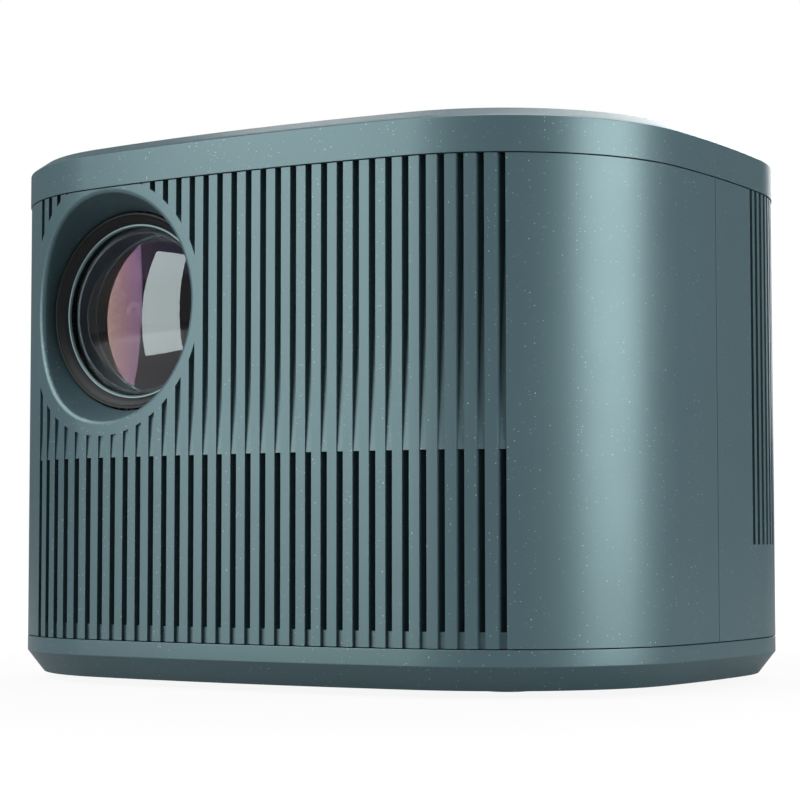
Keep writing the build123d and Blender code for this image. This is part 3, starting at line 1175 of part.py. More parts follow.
with BuildPart() as disc_tray:
    add(block((-TRAY_HALF_WIDTH, TRAY_BACK_Y, TRAY_BOTTOM), (TRAY_HALF_WIDTH, TRAY_FRONT_Y, TRAY_TOP)))
    well_floor = TRAY_BOTTOM + TRAY_FLOOR
    with BuildSketch(Plane.XY.offset(well_floor)):
        with Locations((0, DISC_Y)):
            Circle(WELL_RADIUS)
    extrude(amount=TRAY_RIM, mode=Mode.SUBTRACT)
    with BuildSketch(Plane.XY.offset(well_floor - SMALL_WELL_DEPTH)):
        with Locations((0, DISC_Y)):
            Circle(SMALL_WELL_RADIUS)
    extrude(amount=SMALL_WELL_DEPTH, mode=Mode.SUBTRACT)
    inner = TRAY_HALF_WIDTH - 3.5
    add(block((-inner, TRAY_BACK_Y - 1, well_floor), (inner, TAIL_Y, TRAY_TOP + 1)), mode=Mode.SUBTRACT)
    with BuildSketch(Plane.XY.offset(TRAY_BOTTOM)):
        with Locations((0, DISC_Y)):
            Circle(TRAY_SLOT)
            Rectangle(2 * TRAY_SLOT, 2 * BODY_DEPTH, align=(Align.CENTER, Align.MAX))
    extrude(amount=TRAY_RIM, mode=Mode.SUBTRACT)
    for side in (-1, 1):
        with BuildSketch(Plane.XY.offset(TRAY_BOTTOM)):
            with Locations((side * 30, DISC_Y + WELL_RADIUS * 0.98)):
                Circle(9)
        extrude(amount=TRAY_RIM, mode=Mode.SUBTRACT)
    rack_low = DRIVE_Y - (RACK_BACK + 0.5) * RACK_STEP
    rack_high = DRIVE_Y + (RACK_AHEAD + 0.5) * RACK_STEP
    root_x = RACK_PITCH_X + 1.2 * RACK_MODULE
    add(block((root_x, rack_low, PINION_BOTTOM - SLIDE_GAP), (root_x + 3, rack_high, TRAY_BOTTOM)))
    tip_x = RACK_PITCH_X - 0.85 * RACK_MODULE
    with BuildSketch(Plane.XY.offset(PINION_BOTTOM - SLIDE_GAP)):
        pitch_half = (RACK_STEP - BACKLASH) / 4
        root_half = pitch_half + 1.2 * RACK_MODULE * tan(radians(20))
        tip_half = pitch_half - 0.85 * RACK_MODULE * tan(radians(20))
        for tooth in range(-RACK_BACK, RACK_AHEAD + 1):
            middle_y = DRIVE_Y + (tooth - 0.5) * RACK_STEP
            with BuildLine():
                Polyline((root_x + 0.5, middle_y - root_half), (root_x, middle_y - root_half),
                         (tip_x, middle_y - tip_half), (tip_x, middle_y + tip_half),
                         (root_x, middle_y + root_half), (root_x + 0.5, middle_y + root_half), close=True)
            make_face()
    extrude(amount=TRAY_BOTTOM - PINION_BOTTOM + SLIDE_GAP)
save("disc_tray", disc_tray)

with BuildPart() as tray_bezel:
    bezel_box = block((-BEZEL_HALF_WIDTH, TRAY_FRONT_Y, BEZEL_BOTTOM),
                      (BEZEL_HALF_WIDTH, BODY_DEPTH, BEZEL_TOP))
    add(bezel_box & slab(outline(), BASE_TOP, CAP_BOTTOM))
save("tray_bezel", tray_bezel)

# ---------------------------------------------------------------- disc loader: drive train
with BuildPart() as drive_gear:
    with BuildSketch(Plane.XY.offset(WHEEL_BOTTOM)):
        with Locations((DRIVE_X, DRIVE_Y)):
            add(gear_face(WHEEL_TEETH, WHEEL_MODULE))
    extrude(amount=WHEEL_WIDTH)
    with BuildSketch(Plane.XY.offset(WHEEL_BOTTOM + WHEEL_WIDTH)):
        with Locations((DRIVE_X, DRIVE_Y)):
            Circle(4.5)
    extrude(amount=PINION_BOTTOM - WHEEL_BOTTOM - WHEEL_WIDTH)
    with BuildSketch(Plane.XY.offset(PINION_BOTTOM)):
        with Locations((DRIVE_X, DRIVE_Y)):
            add(gear_face(PINION_TEETH, RACK_MODULE))
    extrude(amount=PINION_WIDTH)
    with BuildSketch(Plane.XY.offset(WHEEL_BOTTOM)):
        with Locations((DRIVE_X, DRIVE_Y)):
            Circle(AXLE_RADIUS + SHAFT_GAP)
    extrude(amount=PINION_BOTTOM + PINION_WIDTH - WHEEL_BOTTOM, mode=Mode.SUBTRACT)
save("drive_gear", drive_gear)


def pulley(x, y, radius):
    """Grooved belt pulley on a vertical axis, as a free solid."""
    flange = radius + BELT_SIZE * 0.6
    half = PULLEY_WIDTH / 2
    with BuildPart() as wheel:
        with BuildSketch(Plane(origin=(x, y, PULLEY_BOTTOM), x_dir=(1, 0, 0), z_dir=(0, -1, 0))):
            with BuildLine():
                Polyline((0, 0), (flange, 0), (flange, 0.5), (radius - BELT_SIZE / 2, half - BELT_SIZE / 2),
                         (radius - BELT_SIZE / 2, half + BELT_SIZE / 2), (flange, PULLEY_WIDTH - 0.5),
                         (flange, PULLEY_WIDTH), (0, PULLEY_WIDTH), close=True)
            make_face()
        revolve(axis=Axis((x, y, 0), (0, 0, 1)))
    return wheel.part


with BuildPart() as belt_pulley:
    add(pulley(PULLEY_X, DRIVE_Y, PULLEY_RADIUS))
    with BuildSketch(Plane.XY.offset(PULLEY_BOTTOM + PULLEY_WIDTH)):
        with Locations((PULLEY_X, DRIVE_Y)):
            add(gear_face(PULLEY_GEAR_TEETH, WHEEL_MODULE, 180 / PULLEY_GEAR_TEETH))
    extrude(amount=WHEEL_BOTTOM + WHEEL_WIDTH - PULLEY_BOTTOM - PULLEY_WIDTH)
    with BuildSketch(Plane.XY.offset(PULLEY_BOTTOM)):
        with Locations((PULLEY_X, DRIVE_Y)):
            Circle(AXLE_RADIUS + SHAFT_GAP)
    extrude(amount=WHEEL_BOTTOM + WHEEL_WIDTH - PULLEY_BOTTOM, mode=Mode.SUBTRACT)
save("belt_pulley", belt_pulley)

with BuildPart() as motor_pulley:
    add(pulley(MOTOR_PULLEY_X, MOTOR_PULLEY_Y, MOTOR_PULLEY_RADIUS))
    with BuildSketch(Plane.XY.offset(PULLEY_BOTTOM)):
        with Locations((MOTOR_PULLEY_X, MOTOR_PULLEY_Y)):
            Circle(1.0)
    extrude(amount=-(PULLEY_BOTTOM - CHASSIS_BOTTOM + 8))
save("motor_pulley", motor_pulley)

with BuildPart() as loading_motor:
    with BuildSketch(Plane.XY.offset(CHASSIS_BOTTOM)):
        with Locations((MOTOR_PULLEY_X, MOTOR_PULLEY_Y)):
            Circle(LOADING_MOTOR_RADIUS)
    extrude(amount=-LOADING_MOTOR_HEIGHT)
    with BuildSketch(Plane.XY.offset(CHASSIS_BOTTOM)):
        with Locations((MOTOR_PULLEY_X, MOTOR_PULLEY_Y)):
            Circle(1.0 + SHAFT_GAP)
    extrude(amount=-LOADING_MOTOR_HEIGHT + 2, mode=Mode.SUBTRACT)
save("loading_motor", loading_motor)

belt_reach = hypot(PULLEY_X - MOTOR_PULLEY_X, DRIVE_Y - MOTOR_PULLEY_Y)
belt_turn = degrees(atan2(DRIVE_Y - MOTOR_PULLEY_Y, PULLEY_X - MOTOR_PULLEY_X))
BELT_PLANE = Plane(origin=(MOTOR_PULLEY_X, MOTOR_PULLEY_Y, PULLEY_BOTTOM + PULLEY_WIDTH / 2 - BELT_SIZE / 2),
                   x_dir=(cos(radians(belt_turn)), sin(radians(belt_turn)), 0), z_dir=(0, 0, 1))


def belt_face(grow):
    """Area inside a belt line round both pulleys, in the belt plane."""
    small = MOTOR_PULLEY_RADIUS + grow
    large = PULLEY_RADIUS + grow
    lean = acos((small - large) / belt_reach)
    with BuildSketch() as face:
        with BuildLine():
            low_small = (small * cos(lean), -small * sin(lean))
            low_large = (belt_reach + large * cos(lean), -large * sin(lean))
            high_small = (small * cos(lean), small * sin(lean))
            high_large = (belt_reach + large * cos(lean), large * sin(lean))
            ThreePointArc(high_small, (-small, 0), low_small)
            Line(low_small, low_large)
            ThreePointArc(low_large, (belt_reach + large, 0), high_large)
            Line(high_large, high_small)
        make_face()
    return face.sketch


with BuildPart() as drive_belt:
    with BuildSketch(BELT_PLANE):
        add(belt_face(BELT_SIZE / 2 + SHAFT_GAP))
        add(belt_face(-BELT_SIZE / 2 + SHAFT_GAP), mode=Mode.SUBTRACT)
    extrude(amount=BELT_SIZE)
save("drive_belt", drive_belt)

# ---------------------------------------------------------------- disc loader: traverse
PIN_REACH = TRAVERSE_FRONT_Y + CAM_CLEARANCE + CAM_BEAM + SLIDE_GAP + CAM_THICK
PIN_DROP = TRAVERSE_DROP * (TRAVERSE_FRONT_Y + 4 - PIVOT_Y) / (DISC_Y - PIVOT_Y)
TRAVERSE_BACK_Y = PIVOT_Y - 2.5
PLATE_LOW = TRAVERSE_BOTTOM
PLATE_TOP = PLATE_LOW + TRAVERSE_PLATE

with BuildPart() as traverse_frame:
    half = TRAVERSE_HALF_WIDTH
    inside = half - 3
    above = TRAVERSE_BOTTOM + 8
    add(block((-half, TRAVERSE_BACK_Y, TRAVERSE_BOTTOM),
              (half, TRAVERSE_FRONT_Y, TRAVERSE_BOTTOM + TRAVERSE_RAIL)))
    add(block((-inside, TRAVERSE_BACK_Y + 5, TRAVERSE_BOTTOM - 1), (inside, TRAVERSE_BAR_Y, above)),
        mode=Mode.SUBTRACT)
    add(block((-inside, TRAVERSE_BAR_Y + 2, PLATE_TOP), (inside, TRAVERSE_FRONT_Y - 2.5, above)),
        mode=Mode.SUBTRACT)
    for side in (-1, 1):
        rod_block_low = side * ROD_X - 3
        for block_y in (TRAVERSE_BACK_Y, TRAVERSE_BAR_Y):
            add(block((rod_block_low, block_y, TRAVERSE_BOTTOM),
                      (rod_block_low + 6, block_y + TRAVERSE_BAR, ROD_Z + 2.2)))
    for block_y in (TRAVERSE_BACK_Y, TRAVERSE_BAR_Y):
        add(block((SCREW_X - 3, block_y, TRAVERSE_BOTTOM),
                  (SCREW_X + 3, block_y + TRAVERSE_BAR, ROD_Z + 2.2)))
    with BuildSketch(Plane.XZ.offset(-TRAVERSE_BAR_Y - TRAVERSE_BAR)):
        with Locations((-ROD_X, ROD_Z), (ROD_X, ROD_Z)):
            Circle(ROD_RADIUS + 0.02)
        with Locations((SCREW_X, ROD_Z)):
            Circle(ROD_RADIUS + SHAFT_GAP)
    extrude(amount=80, mode=Mode.SUBTRACT)
    with BuildSketch(Plane.XY.offset(PLATE_LOW)):
        with Locations((0, DISC_Y)):
            Circle(SPINDLE_RADIUS + 2.5)
    extrude(amount=-3, mode=Mode.SUBTRACT)
    with BuildSketch(Plane.XY.offset(PLATE_TOP)):
        with Locations((0, DISC_Y)):
            Circle(SPINDLE_RADIUS + 2.5)
    extrude(amount=-TRAVERSE_PLATE - 2, mode=Mode.SUBTRACT)
    with BuildSketch(Plane.YZ.offset(-half)):
        with Locations((PIVOT_Y, PIVOT_Z)):
            Circle(ROD_RADIUS)
    extrude(amount=-4)
    with BuildSketch(Plane.YZ.offset(half)):
        with Locations((PIVOT_Y, PIVOT_Z)):
            Circle(ROD_RADIUS)
    extrude(amount=4)
    add(block((CAM_PIN_X - 3, TRAVERSE_FRONT_Y - 2.5, TRAVERSE_BOTTOM),
              (CAM_PIN_X + 3, TRAVERSE_FRONT_Y, CAM_PIN_Z + 2)))
    with BuildSketch(Plane.XZ.offset(-TRAVERSE_FRONT_Y)):
        with Locations((CAM_PIN_X, CAM_PIN_Z)):
            Circle(CAM_PIN_RADIUS)
    extrude(amount=-(PIN_REACH - TRAVERSE_FRONT_Y))
save("traverse_frame", traverse_frame)

with BuildPart() as cam_slider:
    cam_y = PIN_REACH - CAM_THICK
    cam_top = TRAY_BOTTOM - 2 * SLIDE_GAP
    cam_bottom = DECK_TOP + SLIDE_GAP
    with BuildSketch(Plane.XZ.offset(-cam_y)):
        with BuildLine():
            Polyline((CAM_LOW_X, cam_bottom), (CAM_HIGH_X, cam_bottom), (CAM_HIGH_X, cam_top),
                     (CAM_LOW_X, cam_top), close=True)
        make_face()
        slope = atan2(PIN_DROP, CAM_TRAVEL)
        with BuildLine():
            reach = CAM_PIN_RADIUS + SLIDE_GAP
            top_x = CAM_PIN_X - 1.0 * cos(slope)
            top_z = CAM_PIN_Z + 1.0 * sin(slope)
            end_x = CAM_PIN_X + (CAM_TRAVEL + 1.0) * 1.0
            end_z = CAM_PIN_Z - (PIN_DROP + 1.0 * tan(slope))
            side_x = reach * sin(slope)
            side_z = reach * cos(slope)
            Polyline((top_x - side_x, top_z - side_z), (end_x - side_x, end_z - side_z),
                     (end_x + side_x, end_z + side_z), (top_x + side_x, top_z + side_z), close=True)
        make_face(mode=Mode.SUBTRACT)
        with Locations((top_x, top_z), (end_x, end_z)):
            Circle(reach, mode=Mode.SUBTRACT)
    extrude(amount=-CAM_THICK)
save("cam_slider", cam_slider)

with BuildPart() as guide_rods:
    with BuildSketch(Plane.XZ.offset(-TRAVERSE_BAR_Y - 3)):
        with Locations((-ROD_X, ROD_Z), (ROD_X, ROD_Z)):
            Circle(ROD_RADIUS)
    extrude(amount=TRAVERSE_BAR_Y + 3 - TRAVERSE_BACK_Y - 1)
save("guide_rods", guide_rods)

with BuildPart() as lead_screw:
    with BuildSketch(Plane.XZ.offset(-TRAVERSE_BAR_Y - 5)):
        with Locations((SCREW_X, ROD_Z)):
            Circle(ROD_RADIUS)
    extrude(amount=TRAVERSE_BAR_Y + 5 - TRAVERSE_BACK_Y - 1)
save("lead_screw", lead_screw)

with BuildPart() as sled_motor:
    with BuildSketch(Plane.XZ.offset(-TRAVERSE_BAR_Y - TRAVERSE_BAR)):
        with Locations((SCREW_X, ROD_Z)):
            Circle(SCREW_MOTOR_RADIUS)
    extrude(amount=-12)
    with BuildSketch(Plane.XZ.offset(-TRAVERSE_BAR_Y - TRAVERSE_BAR)):
        with Locations((SCREW_X, ROD_Z)):
            Circle(ROD_RADIUS + SHAFT_GAP)
    extrude(amount=-2, mode=Mode.SUBTRACT)
save("sled_motor", sled_motor)

with BuildPart() as pickup_sled:
    y_low = SLED_START_Y - SLED_HALF_LENGTH
    y_high = SLED_START_Y + SLED_HALF_LENGTH
    add(block((-SLED_HALF_WIDTH, y_low, TRAVERSE_BOTTOM - 0.5), (SLED_HALF_WIDTH, y_high, 57.6)))
    add(block((-12, SLED_START_Y - 9, 57.6), (12, SLED_START_Y + 9, 59.4)))
    with Locations((0, SLED_START_Y, 59.4)):
        Cylinder(3.4, 1.6, align=STANDING)
    for side in (-1, 1):
        low, high = sorted((side * (SLED_HALF_WIDTH - 1), side * (ROD_X + 3)))
        add(block((low, SLED_START_Y - 6, ROD_Z - 3), (high, SLED_START_Y + 6, ROD_Z + 2.4)))
    add(block((ROD_X, SLED_START_Y - 3, ROD_Z - 3),
              (SCREW_X - ROD_RADIUS - SLIDE_GAP, SLED_START_Y + 3, ROD_Z + 2.4)))
    with BuildSketch(Plane.XZ.offset(-SLED_START_Y - 20)):
        with Locations((-ROD_X, ROD_Z), (ROD_X, ROD_Z)):
            Circle(ROD_RADIUS + 0.06)
    extrude(amount=40, mode=Mode.SUBTRACT)
save("pickup_sled", pickup_sled)

with BuildPart() as spindle_motor:
    with BuildSketch(Plane.XY.offset(PLATE_LOW)):
        with Locations((0, DISC_Y)):
            Circle(SPINDLE_MOTOR_RADIUS)
    extrude(amount=-SPINDLE_MOTOR_HEIGHT)
    with BuildSketch(Plane.XY.offset(PLATE_LOW)):
        with Locations((0, DISC_Y)):
            Circle(SPINDLE_RADIUS + SHAFT_GAP)
    extrude(amount=-SPINDLE_MOTOR_HEIGHT + 1, mode=Mode.SUBTRACT)
save("spindle_motor", spindle_motor)

with BuildPart() as turntable:
    with BuildSketch(Plane.XY.offset(PLATE_LOW - SPINDLE_MOTOR_HEIGHT + 1.5)):
        with Locations((0, DISC_Y)):
            Circle(SPINDLE_RADIUS)
    extrude(amount=TABLE_TOP - PLATE_LOW + SPINDLE_MOTOR_HEIGHT - 1.5)
    with BuildSketch(Plane.XY.offset(TABLE_TOP)):
        with Locations((0, DISC_Y)):
            Circle(TABLE_RADIUS)
    extrude(amount=-TABLE_THICK)
    with BuildSketch(Plane.XY.offset(TABLE_TOP - TABLE_THICK)):
        with Locations((0, DISC_Y)):
            Circle(5.0)
    extrude(amount=-(TABLE_TOP - TABLE_THICK - PLATE_TOP - SLIDE_GAP))
    with BuildSketch(Plane.XY.offset(TABLE_TOP)):
        with Locations((0, DISC_Y)):
            Circle(HUB_RADIUS)
    extrude(amount=HUB_HEIGHT, taper=20)
save("turntable", turntable)

with BuildPart() as clamp_bridge:
    with BuildSketch(Plane.XY.offset(BRIDGE_Z)):
        with Locations((0, DISC_Y)):
            Rectangle(2 * CHASSIS_HALF_WIDTH, 2 * BRIDGE_HALF_DEPTH)
            Circle(PUCK_RADIUS + SLIDE_GAP, mode=Mode.SUBTRACT)
            with Locations((-42, 0), (42, 0)):
                SlotOverall(36, 14, mode=Mode.SUBTRACT)
    extrude(amount=BRIDGE_THICK)
save("clamp_bridge", clamp_bridge)

HUB_TOP = TABLE_TOP + HUB_HEIGHT
with BuildPart() as clamp_puck:
    with BuildSketch(Plane.XY.offset(HUB_TOP + SLIDE_GAP)):
        with Locations((0, DISC_Y)):
            Circle(PUCK_RADIUS)
    extrude(amount=BRIDGE_Z + BRIDGE_THICK + SLIDE_GAP - HUB_TOP - SLIDE_GAP)
    with BuildSketch(Plane.XY.offset(BRIDGE_Z + BRIDGE_THICK + SLIDE_GAP)):
        with Locations((0, DISC_Y)):
            Circle(PUCK_FLANGE)
    extrude(amount=1.2)
save("clamp_puck", clamp_puck)
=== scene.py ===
import bmesh
import bpy
from math import cos, pi, radians, sin
from mathutils import Matrix, Vector


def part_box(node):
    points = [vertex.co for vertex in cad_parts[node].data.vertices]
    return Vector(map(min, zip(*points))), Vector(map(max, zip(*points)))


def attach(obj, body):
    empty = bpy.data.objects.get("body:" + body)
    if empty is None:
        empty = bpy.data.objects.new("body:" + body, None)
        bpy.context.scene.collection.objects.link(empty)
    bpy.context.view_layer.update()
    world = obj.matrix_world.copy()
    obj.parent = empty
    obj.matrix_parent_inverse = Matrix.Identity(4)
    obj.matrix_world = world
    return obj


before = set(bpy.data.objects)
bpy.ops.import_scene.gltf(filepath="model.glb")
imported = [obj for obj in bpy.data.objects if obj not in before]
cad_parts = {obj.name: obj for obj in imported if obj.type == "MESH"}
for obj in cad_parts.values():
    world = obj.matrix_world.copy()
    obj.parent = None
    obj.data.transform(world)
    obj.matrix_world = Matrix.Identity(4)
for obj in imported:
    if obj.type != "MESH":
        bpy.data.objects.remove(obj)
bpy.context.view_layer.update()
scene = bpy.context.scene
scene.view_settings.view_transform = "Standard"

MM = 0.001


# ---------------------------------------------------------------- places read from the solids, in metres
def middle(node):
    """Centre of a node's box."""
    low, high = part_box(node)
    return [(a + b) / 2 for a, b in zip(low, high)]


LENS_X, LENS_Z = middle("front_lens")[::2]
OK_KEY = middle("key_ok")
POWER_KEY = middle("key_power")
BOARD_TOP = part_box("hdmi_ports")[0][2]
KEYPAD_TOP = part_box("keypad_board")[0][2] + 1.2 * MM
INLET = middle("power_inlet")
AV_JACKS = middle("av_jacks")
JACK_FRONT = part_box("hdmi_ports")[1][1]
LED_PLATE_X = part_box("led_module")[0][0]
LED = middle("led_module")
BARREL_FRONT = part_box("lens_barrel")[0][1]
FRONT_GLASS_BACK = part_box("front_lens")[1][1]


# ---------------------------------------------------------------- finishes: shared effects
def new_group(name, inputs, outputs):
    """Empty shader group with named number inputs and the given outputs."""
    group = bpy.data.node_groups.new(name, "ShaderNodeTree")
    for label, value in inputs:
        socket = group.interface.new_socket(label, in_out="INPUT", socket_type="NodeSocketFloat")
        socket.default_value = value
    for label in outputs:
        group.interface.new_socket(label, in_out="OUTPUT", socket_type="NodeSocketFloat")
    start = group.nodes.new("NodeGroupInput")
    end = group.nodes.new("NodeGroupOutput")
    place = group.nodes.new("ShaderNodeTexCoord")
    return group, start, end, place.outputs["Object"]


def math_node(tree, operation, *values):
    """Adds a Math node; a value is a number or an output socket."""
    node = tree.nodes.new("ShaderNodeMath")
    node.operation = operation
    for index, value in enumerate(values):
        if isinstance(value, (int, float)):
            node.inputs[index].default_value = value
        else:
            tree.links.new(value, node.inputs[index])
    return node.outputs[0]


def map_range(tree, value, low, high, to_low=0.0, to_high=1.0, soft=True):
    """Maps low..high of a value to to_low..to_high, clamped."""
    node = tree.nodes.new("ShaderNodeMapRange")
    node.interpolation_type = "SMOOTHSTEP" if soft else "LINEAR"
    tree.links.new(value, node.inputs["Value"])
    for label, amount in (("From Min", low), ("From Max", high), ("To Min", to_low), ("To Max", to_high)):
        if isinstance(amount, (int, float)):
            node.inputs[label].default_value = amount
        else:
            tree.links.new(amount, node.inputs[label])
    return node.outputs["Result"]


def noise(tree, place, scale, detail=2.0, roughness=0.5):
    """Noise over the given coordinates."""
    node = tree.nodes.new("ShaderNodeTexNoise")
    node.inputs["Detail"].default_value = detail
    node.inputs["Roughness"].default_value = roughness
    tree.links.new(place, node.inputs["Vector"])
    if isinstance(scale, (int, float)):
        node.inputs["Scale"].default_value = scale
    else:
        tree.links.new(scale, node.inputs["Scale"])
    return node.outputs["Fac"]


def make_specks():
    """Sparse pale flecks moulded into the plastic."""
    group, start, end, place = new_group(
        "light_specks", (("Scale", 700.0), ("Size", 0.14), ("Share", 0.3)), ("Mask",))
    cells = group.nodes.new("ShaderNodeTexVoronoi")
    group.links.new(place, cells.inputs["Vector"])
    group.links.new(start.outputs["Scale"], cells.inputs["Scale"])
    colour = group.nodes.new("ShaderNodeSeparateColor")
    group.links.new(cells.outputs["Color"], colour.inputs["Color"])
    size = math_node(group, "MULTIPLY", start.outputs["Size"], colour.outputs["Green"])
    near = math_node(group, "LESS_THAN", cells.outputs["Distance"], size)
    kept = math_node(group, "LESS_THAN", colour.outputs["Red"], start.outputs["Share"])
    both = math_node(group, "MULTIPLY", near, kept)
    bright = math_node(group, "MULTIPLY", both, colour.outputs["Blue"])
    group.links.new(bright, end.inputs["Mask"])
    return group


def make_grain():
    """Fine spark-eroded grain of a mould."""
    group, start, end, place = new_group("moulding_grain", (("Scale", 2600.0),), ("Height",))
    group.links.new(noise(group, place, start.outputs["Scale"], 3.0, 0.6), end.inputs["Height"])
    return group


def make_mottle():
    """Slow change of gloss over a surface."""
    group, start, end, place = new_group(
        "gloss_mottle", (("Scale", 40.0), ("Low", 0.3), ("High", 0.5)), ("Value",))
    spread = noise(group, place, start.outputs["Scale"], 4.0, 0.6)
    value = map_range(group, spread, 0.3, 0.7, start.outputs["Low"], start.outputs["High"])
    group.links.new(value, end.inputs["Value"])
    return group


def make_brushing():
    """Long fine lines along X, Y or Z of a drawn or rolled metal."""
    group, start, end, place = new_group(
        "drawn_lines", (("Along X", 1.0), ("Along Y", 1.0), ("Along Z", 1.0)), ("Height",))
    stretch = group.nodes.new("ShaderNodeCombineXYZ")
    for axis, label in zip("XYZ", ("Along X", "Along Y", "Along Z")):
        group.links.new(start.outputs[label], stretch.inputs[axis])
    product = group.nodes.new("ShaderNodeVectorMath")
    product.operation = "MULTIPLY"
    group.links.new(place, product.inputs[0])
    group.links.new(stretch.outputs["Vector"], product.inputs[1])
    group.links.new(noise(group, product.outputs["Vector"], 2500.0, 2.0), end.inputs["Height"])
    return group


SPECKS = make_specks()
GRAIN = make_grain()
MOTTLE = make_mottle()
BRUSHING = make_brushing()


class Finish:
    """A material with one Principled shader, to which masks and effects are wired."""

    def __init__(self, name, colour, rough=0.5, metal=0.0, **sockets):
        self.material = bpy.data.materials.new(name)
        self.material.use_nodes = True
        self.tree = self.material.node_tree
        self.shader = next(n for n in self.tree.nodes if n.type == "BSDF_PRINCIPLED")
        self.colour = (*colour, 1.0)
        self.shader.inputs["Base Color"].default_value = self.colour
        self.shader.inputs["Roughness"].default_value = rough
        self.shader.inputs["Metallic"].default_value = metal
        for label, value in sockets.items():
            self.shader.inputs[label.replace("_", " ")].default_value = value
        self.material.diffuse_color = self.colour

    def effect(self, group, **values):
        """Places a shared effect with this finish's own values."""
        node = self.tree.nodes.new("ShaderNodeGroup")
        node.node_tree = group
        for label, value in values.items():
            node.inputs[label.replace("_", " ")].default_value = value
        return node.outputs[0]

    def axes(self):
        """X, Y and Z of the place on the object, in metres."""
        place = self.tree.nodes.new("ShaderNodeTexCoord")
        split = self.tree.nodes.new("ShaderNodeSeparateXYZ")
        self.tree.links.new(place.outputs["Object"], split.inputs[0])
        return split.outputs["X"], split.outputs["Y"], split.outputs["Z"]

    def place(self):
        """The place on the object as one vector."""
        node = self.tree.nodes.new("ShaderNodeTexCoord")
        return node.outputs["Object"]

    def math(self, operation, *values):
        """Number worked out from numbers and output sockets."""
        return math_node(self.tree, operation, *values)

    def either(self, *masks):
        """1 where any of the masks is 1."""
        joined = masks[0]
        for mask in masks[1:]:
            joined = self.math("MAXIMUM", joined, mask)
        return joined

    def both(self, first, second):
        """1 where both masks are 1."""
        return self.math("MULTIPLY", first, second)

    def without(self, mask):
        """1 where the mask is 0."""
        return self.math("SUBTRACT", 1.0, mask)

    def size(self, value):
        """The value without its sign."""
        return self.math("ABSOLUTE", value)

    def between(self, value, low, high):
        """1 where low < value < high."""
        return self.both(self.math("GREATER_THAN", value, low), self.math("LESS_THAN", value, high))

    def offsets(self, first, second, centre):
        """Distance from a centre in the plane of two coordinates, and its two parts."""
        across = self.math("SUBTRACT", first, centre[0])
        along = self.math("SUBTRACT", second, centre[1])
        squares = self.math("ADD", self.math("POWER", self.size(across), 2.0),
                            self.math("POWER", self.size(along), 2.0))
        return self.math("SQRT", squares), across, along

    def tint(self, mask, colour):
        """Mixes another colour into the base colour where the mask is 1."""
        mix = self.tree.nodes.new("ShaderNodeMix")
        mix.data_type = "RGBA"
        self.tree.links.new(mask, mix.inputs["Factor"])
        base = self.shader.inputs["Base Color"]
        if base.is_linked:
            self.tree.links.new(base.links[0].from_socket, mix.inputs["A"])
        else:
            mix.inputs["A"].default_value = base.default_value[:]
        mix.inputs["B"].default_value = (*colour, 1.0)
        self.tree.links.new(mix.outputs["Result"], base)
        return self

    def wire(self, label, value):
        """Links a value to one of the shader's sockets."""
        self.tree.links.new(value, self.shader.inputs[label])
        return self

    def bump(self, height, strength=0.3, distance=0.1):
        """Raises the surface by a height; distance is in millimetres."""
        node = self.tree.nodes.new("ShaderNodeBump")
        node.inputs["Strength"].default_value = strength
        node.inputs["Distance"].default_value = distance * MM
        self.tree.links.new(height, node.inputs["Height"])
        normal = self.shader.inputs["Normal"]
        if normal.is_linked:
            self.tree.links.new(normal.links[0].from_socket, node.inputs["Normal"])
        self.tree.links.new(node.outputs["Normal"], normal)
        return self


def speckled_plastic(name, colour, low=0.36, high=0.39):
    """Satin coloured plastic with pale flecks."""
    finish = Finish(name, colour, Specular_IOR_Level=0.8, Specular_Tint=(0.68, 0.98, 1.0, 1.0))
    flecks = finish.effect(SPECKS, Scale=1100.0, Size=0.2, Share=0.6)
    finish.tint(flecks, (0.34, 0.42, 0.43))
    finish.wire("Roughness", finish.effect(MOTTLE, Scale=30.0, Low=low, High=high))
    finish.bump(finish.effect(GRAIN, Scale=2600.0), 0.12, 0.02)
    return finish


def fine_plastic(name, colour, low=0.45, high=0.6, strength=0.25):
    """Plain plastic with a fine moulded grain."""
    finish = Finish(name, colour)
    finish.wire("Roughness", finish.effect(MOTTLE, Scale=60.0, Low=low, High=high))
    finish.bump(finish.effect(GRAIN, Scale=3000.0), strength, 0.03)
    return finish


def drawn_metal(name, colour, along, low=0.22, high=0.36):
    """Metal with fine lines along one axis."""
    finish = Finish(name, colour, metal=1.0)
    finish.wire("Roughness", finish.effect(MOTTLE, Scale=80.0, Low=low, High=high))
    stretch = {"Along_X": 1.0, "Along_Y": 1.0, "Along_Z": 1.0}
    stretch["Along_" + along] = 0.03
    finish.bump(finish.effect(BRUSHING, **stretch), 0.15, 0.02)
    return finish


SHELL_COLOUR = (0.040, 0.071, 0.083)
shell = speckled_plastic("speckled_shell", SHELL_COLOUR)
key_plastic = speckled_plastic("speckled_keys", (0.075, 0.115, 0.125), 0.3, 0.4)
black_plastic = fine_plastic("black_moulding", (0.006, 0.007, 0.008))
tray_plastic = fine_plastic("tray_moulding", (0.016, 0.017, 0.018), 0.38, 0.5)
acetal = fine_plastic("acetal_gears", (0.74, 0.72, 0.66), 0.35, 0.45, 0.1)
barrel_black = Finish("barrel_black", (0.003, 0.004, 0.005), 0.5, Specular_IOR_Level=0.3)
rubber = fine_plastic("foot_rubber", (0.022, 0.022, 0.022), 0.7, 0.85, 0.4)
paper = fine_plastic("pressed_paper_cone", (0.03, 0.03, 0.032), 0.75, 0.9, 0.6)
steel = drawn_metal("plated_steel", (0.62, 0.63, 0.64), "Y")
zinc = drawn_metal("zinc_sheet", (0.66, 0.67, 0.68), "X", 0.3, 0.45)
motor_can = drawn_metal("motor_can", (0.7, 0.7, 0.7), "Z", 0.18, 0.3)
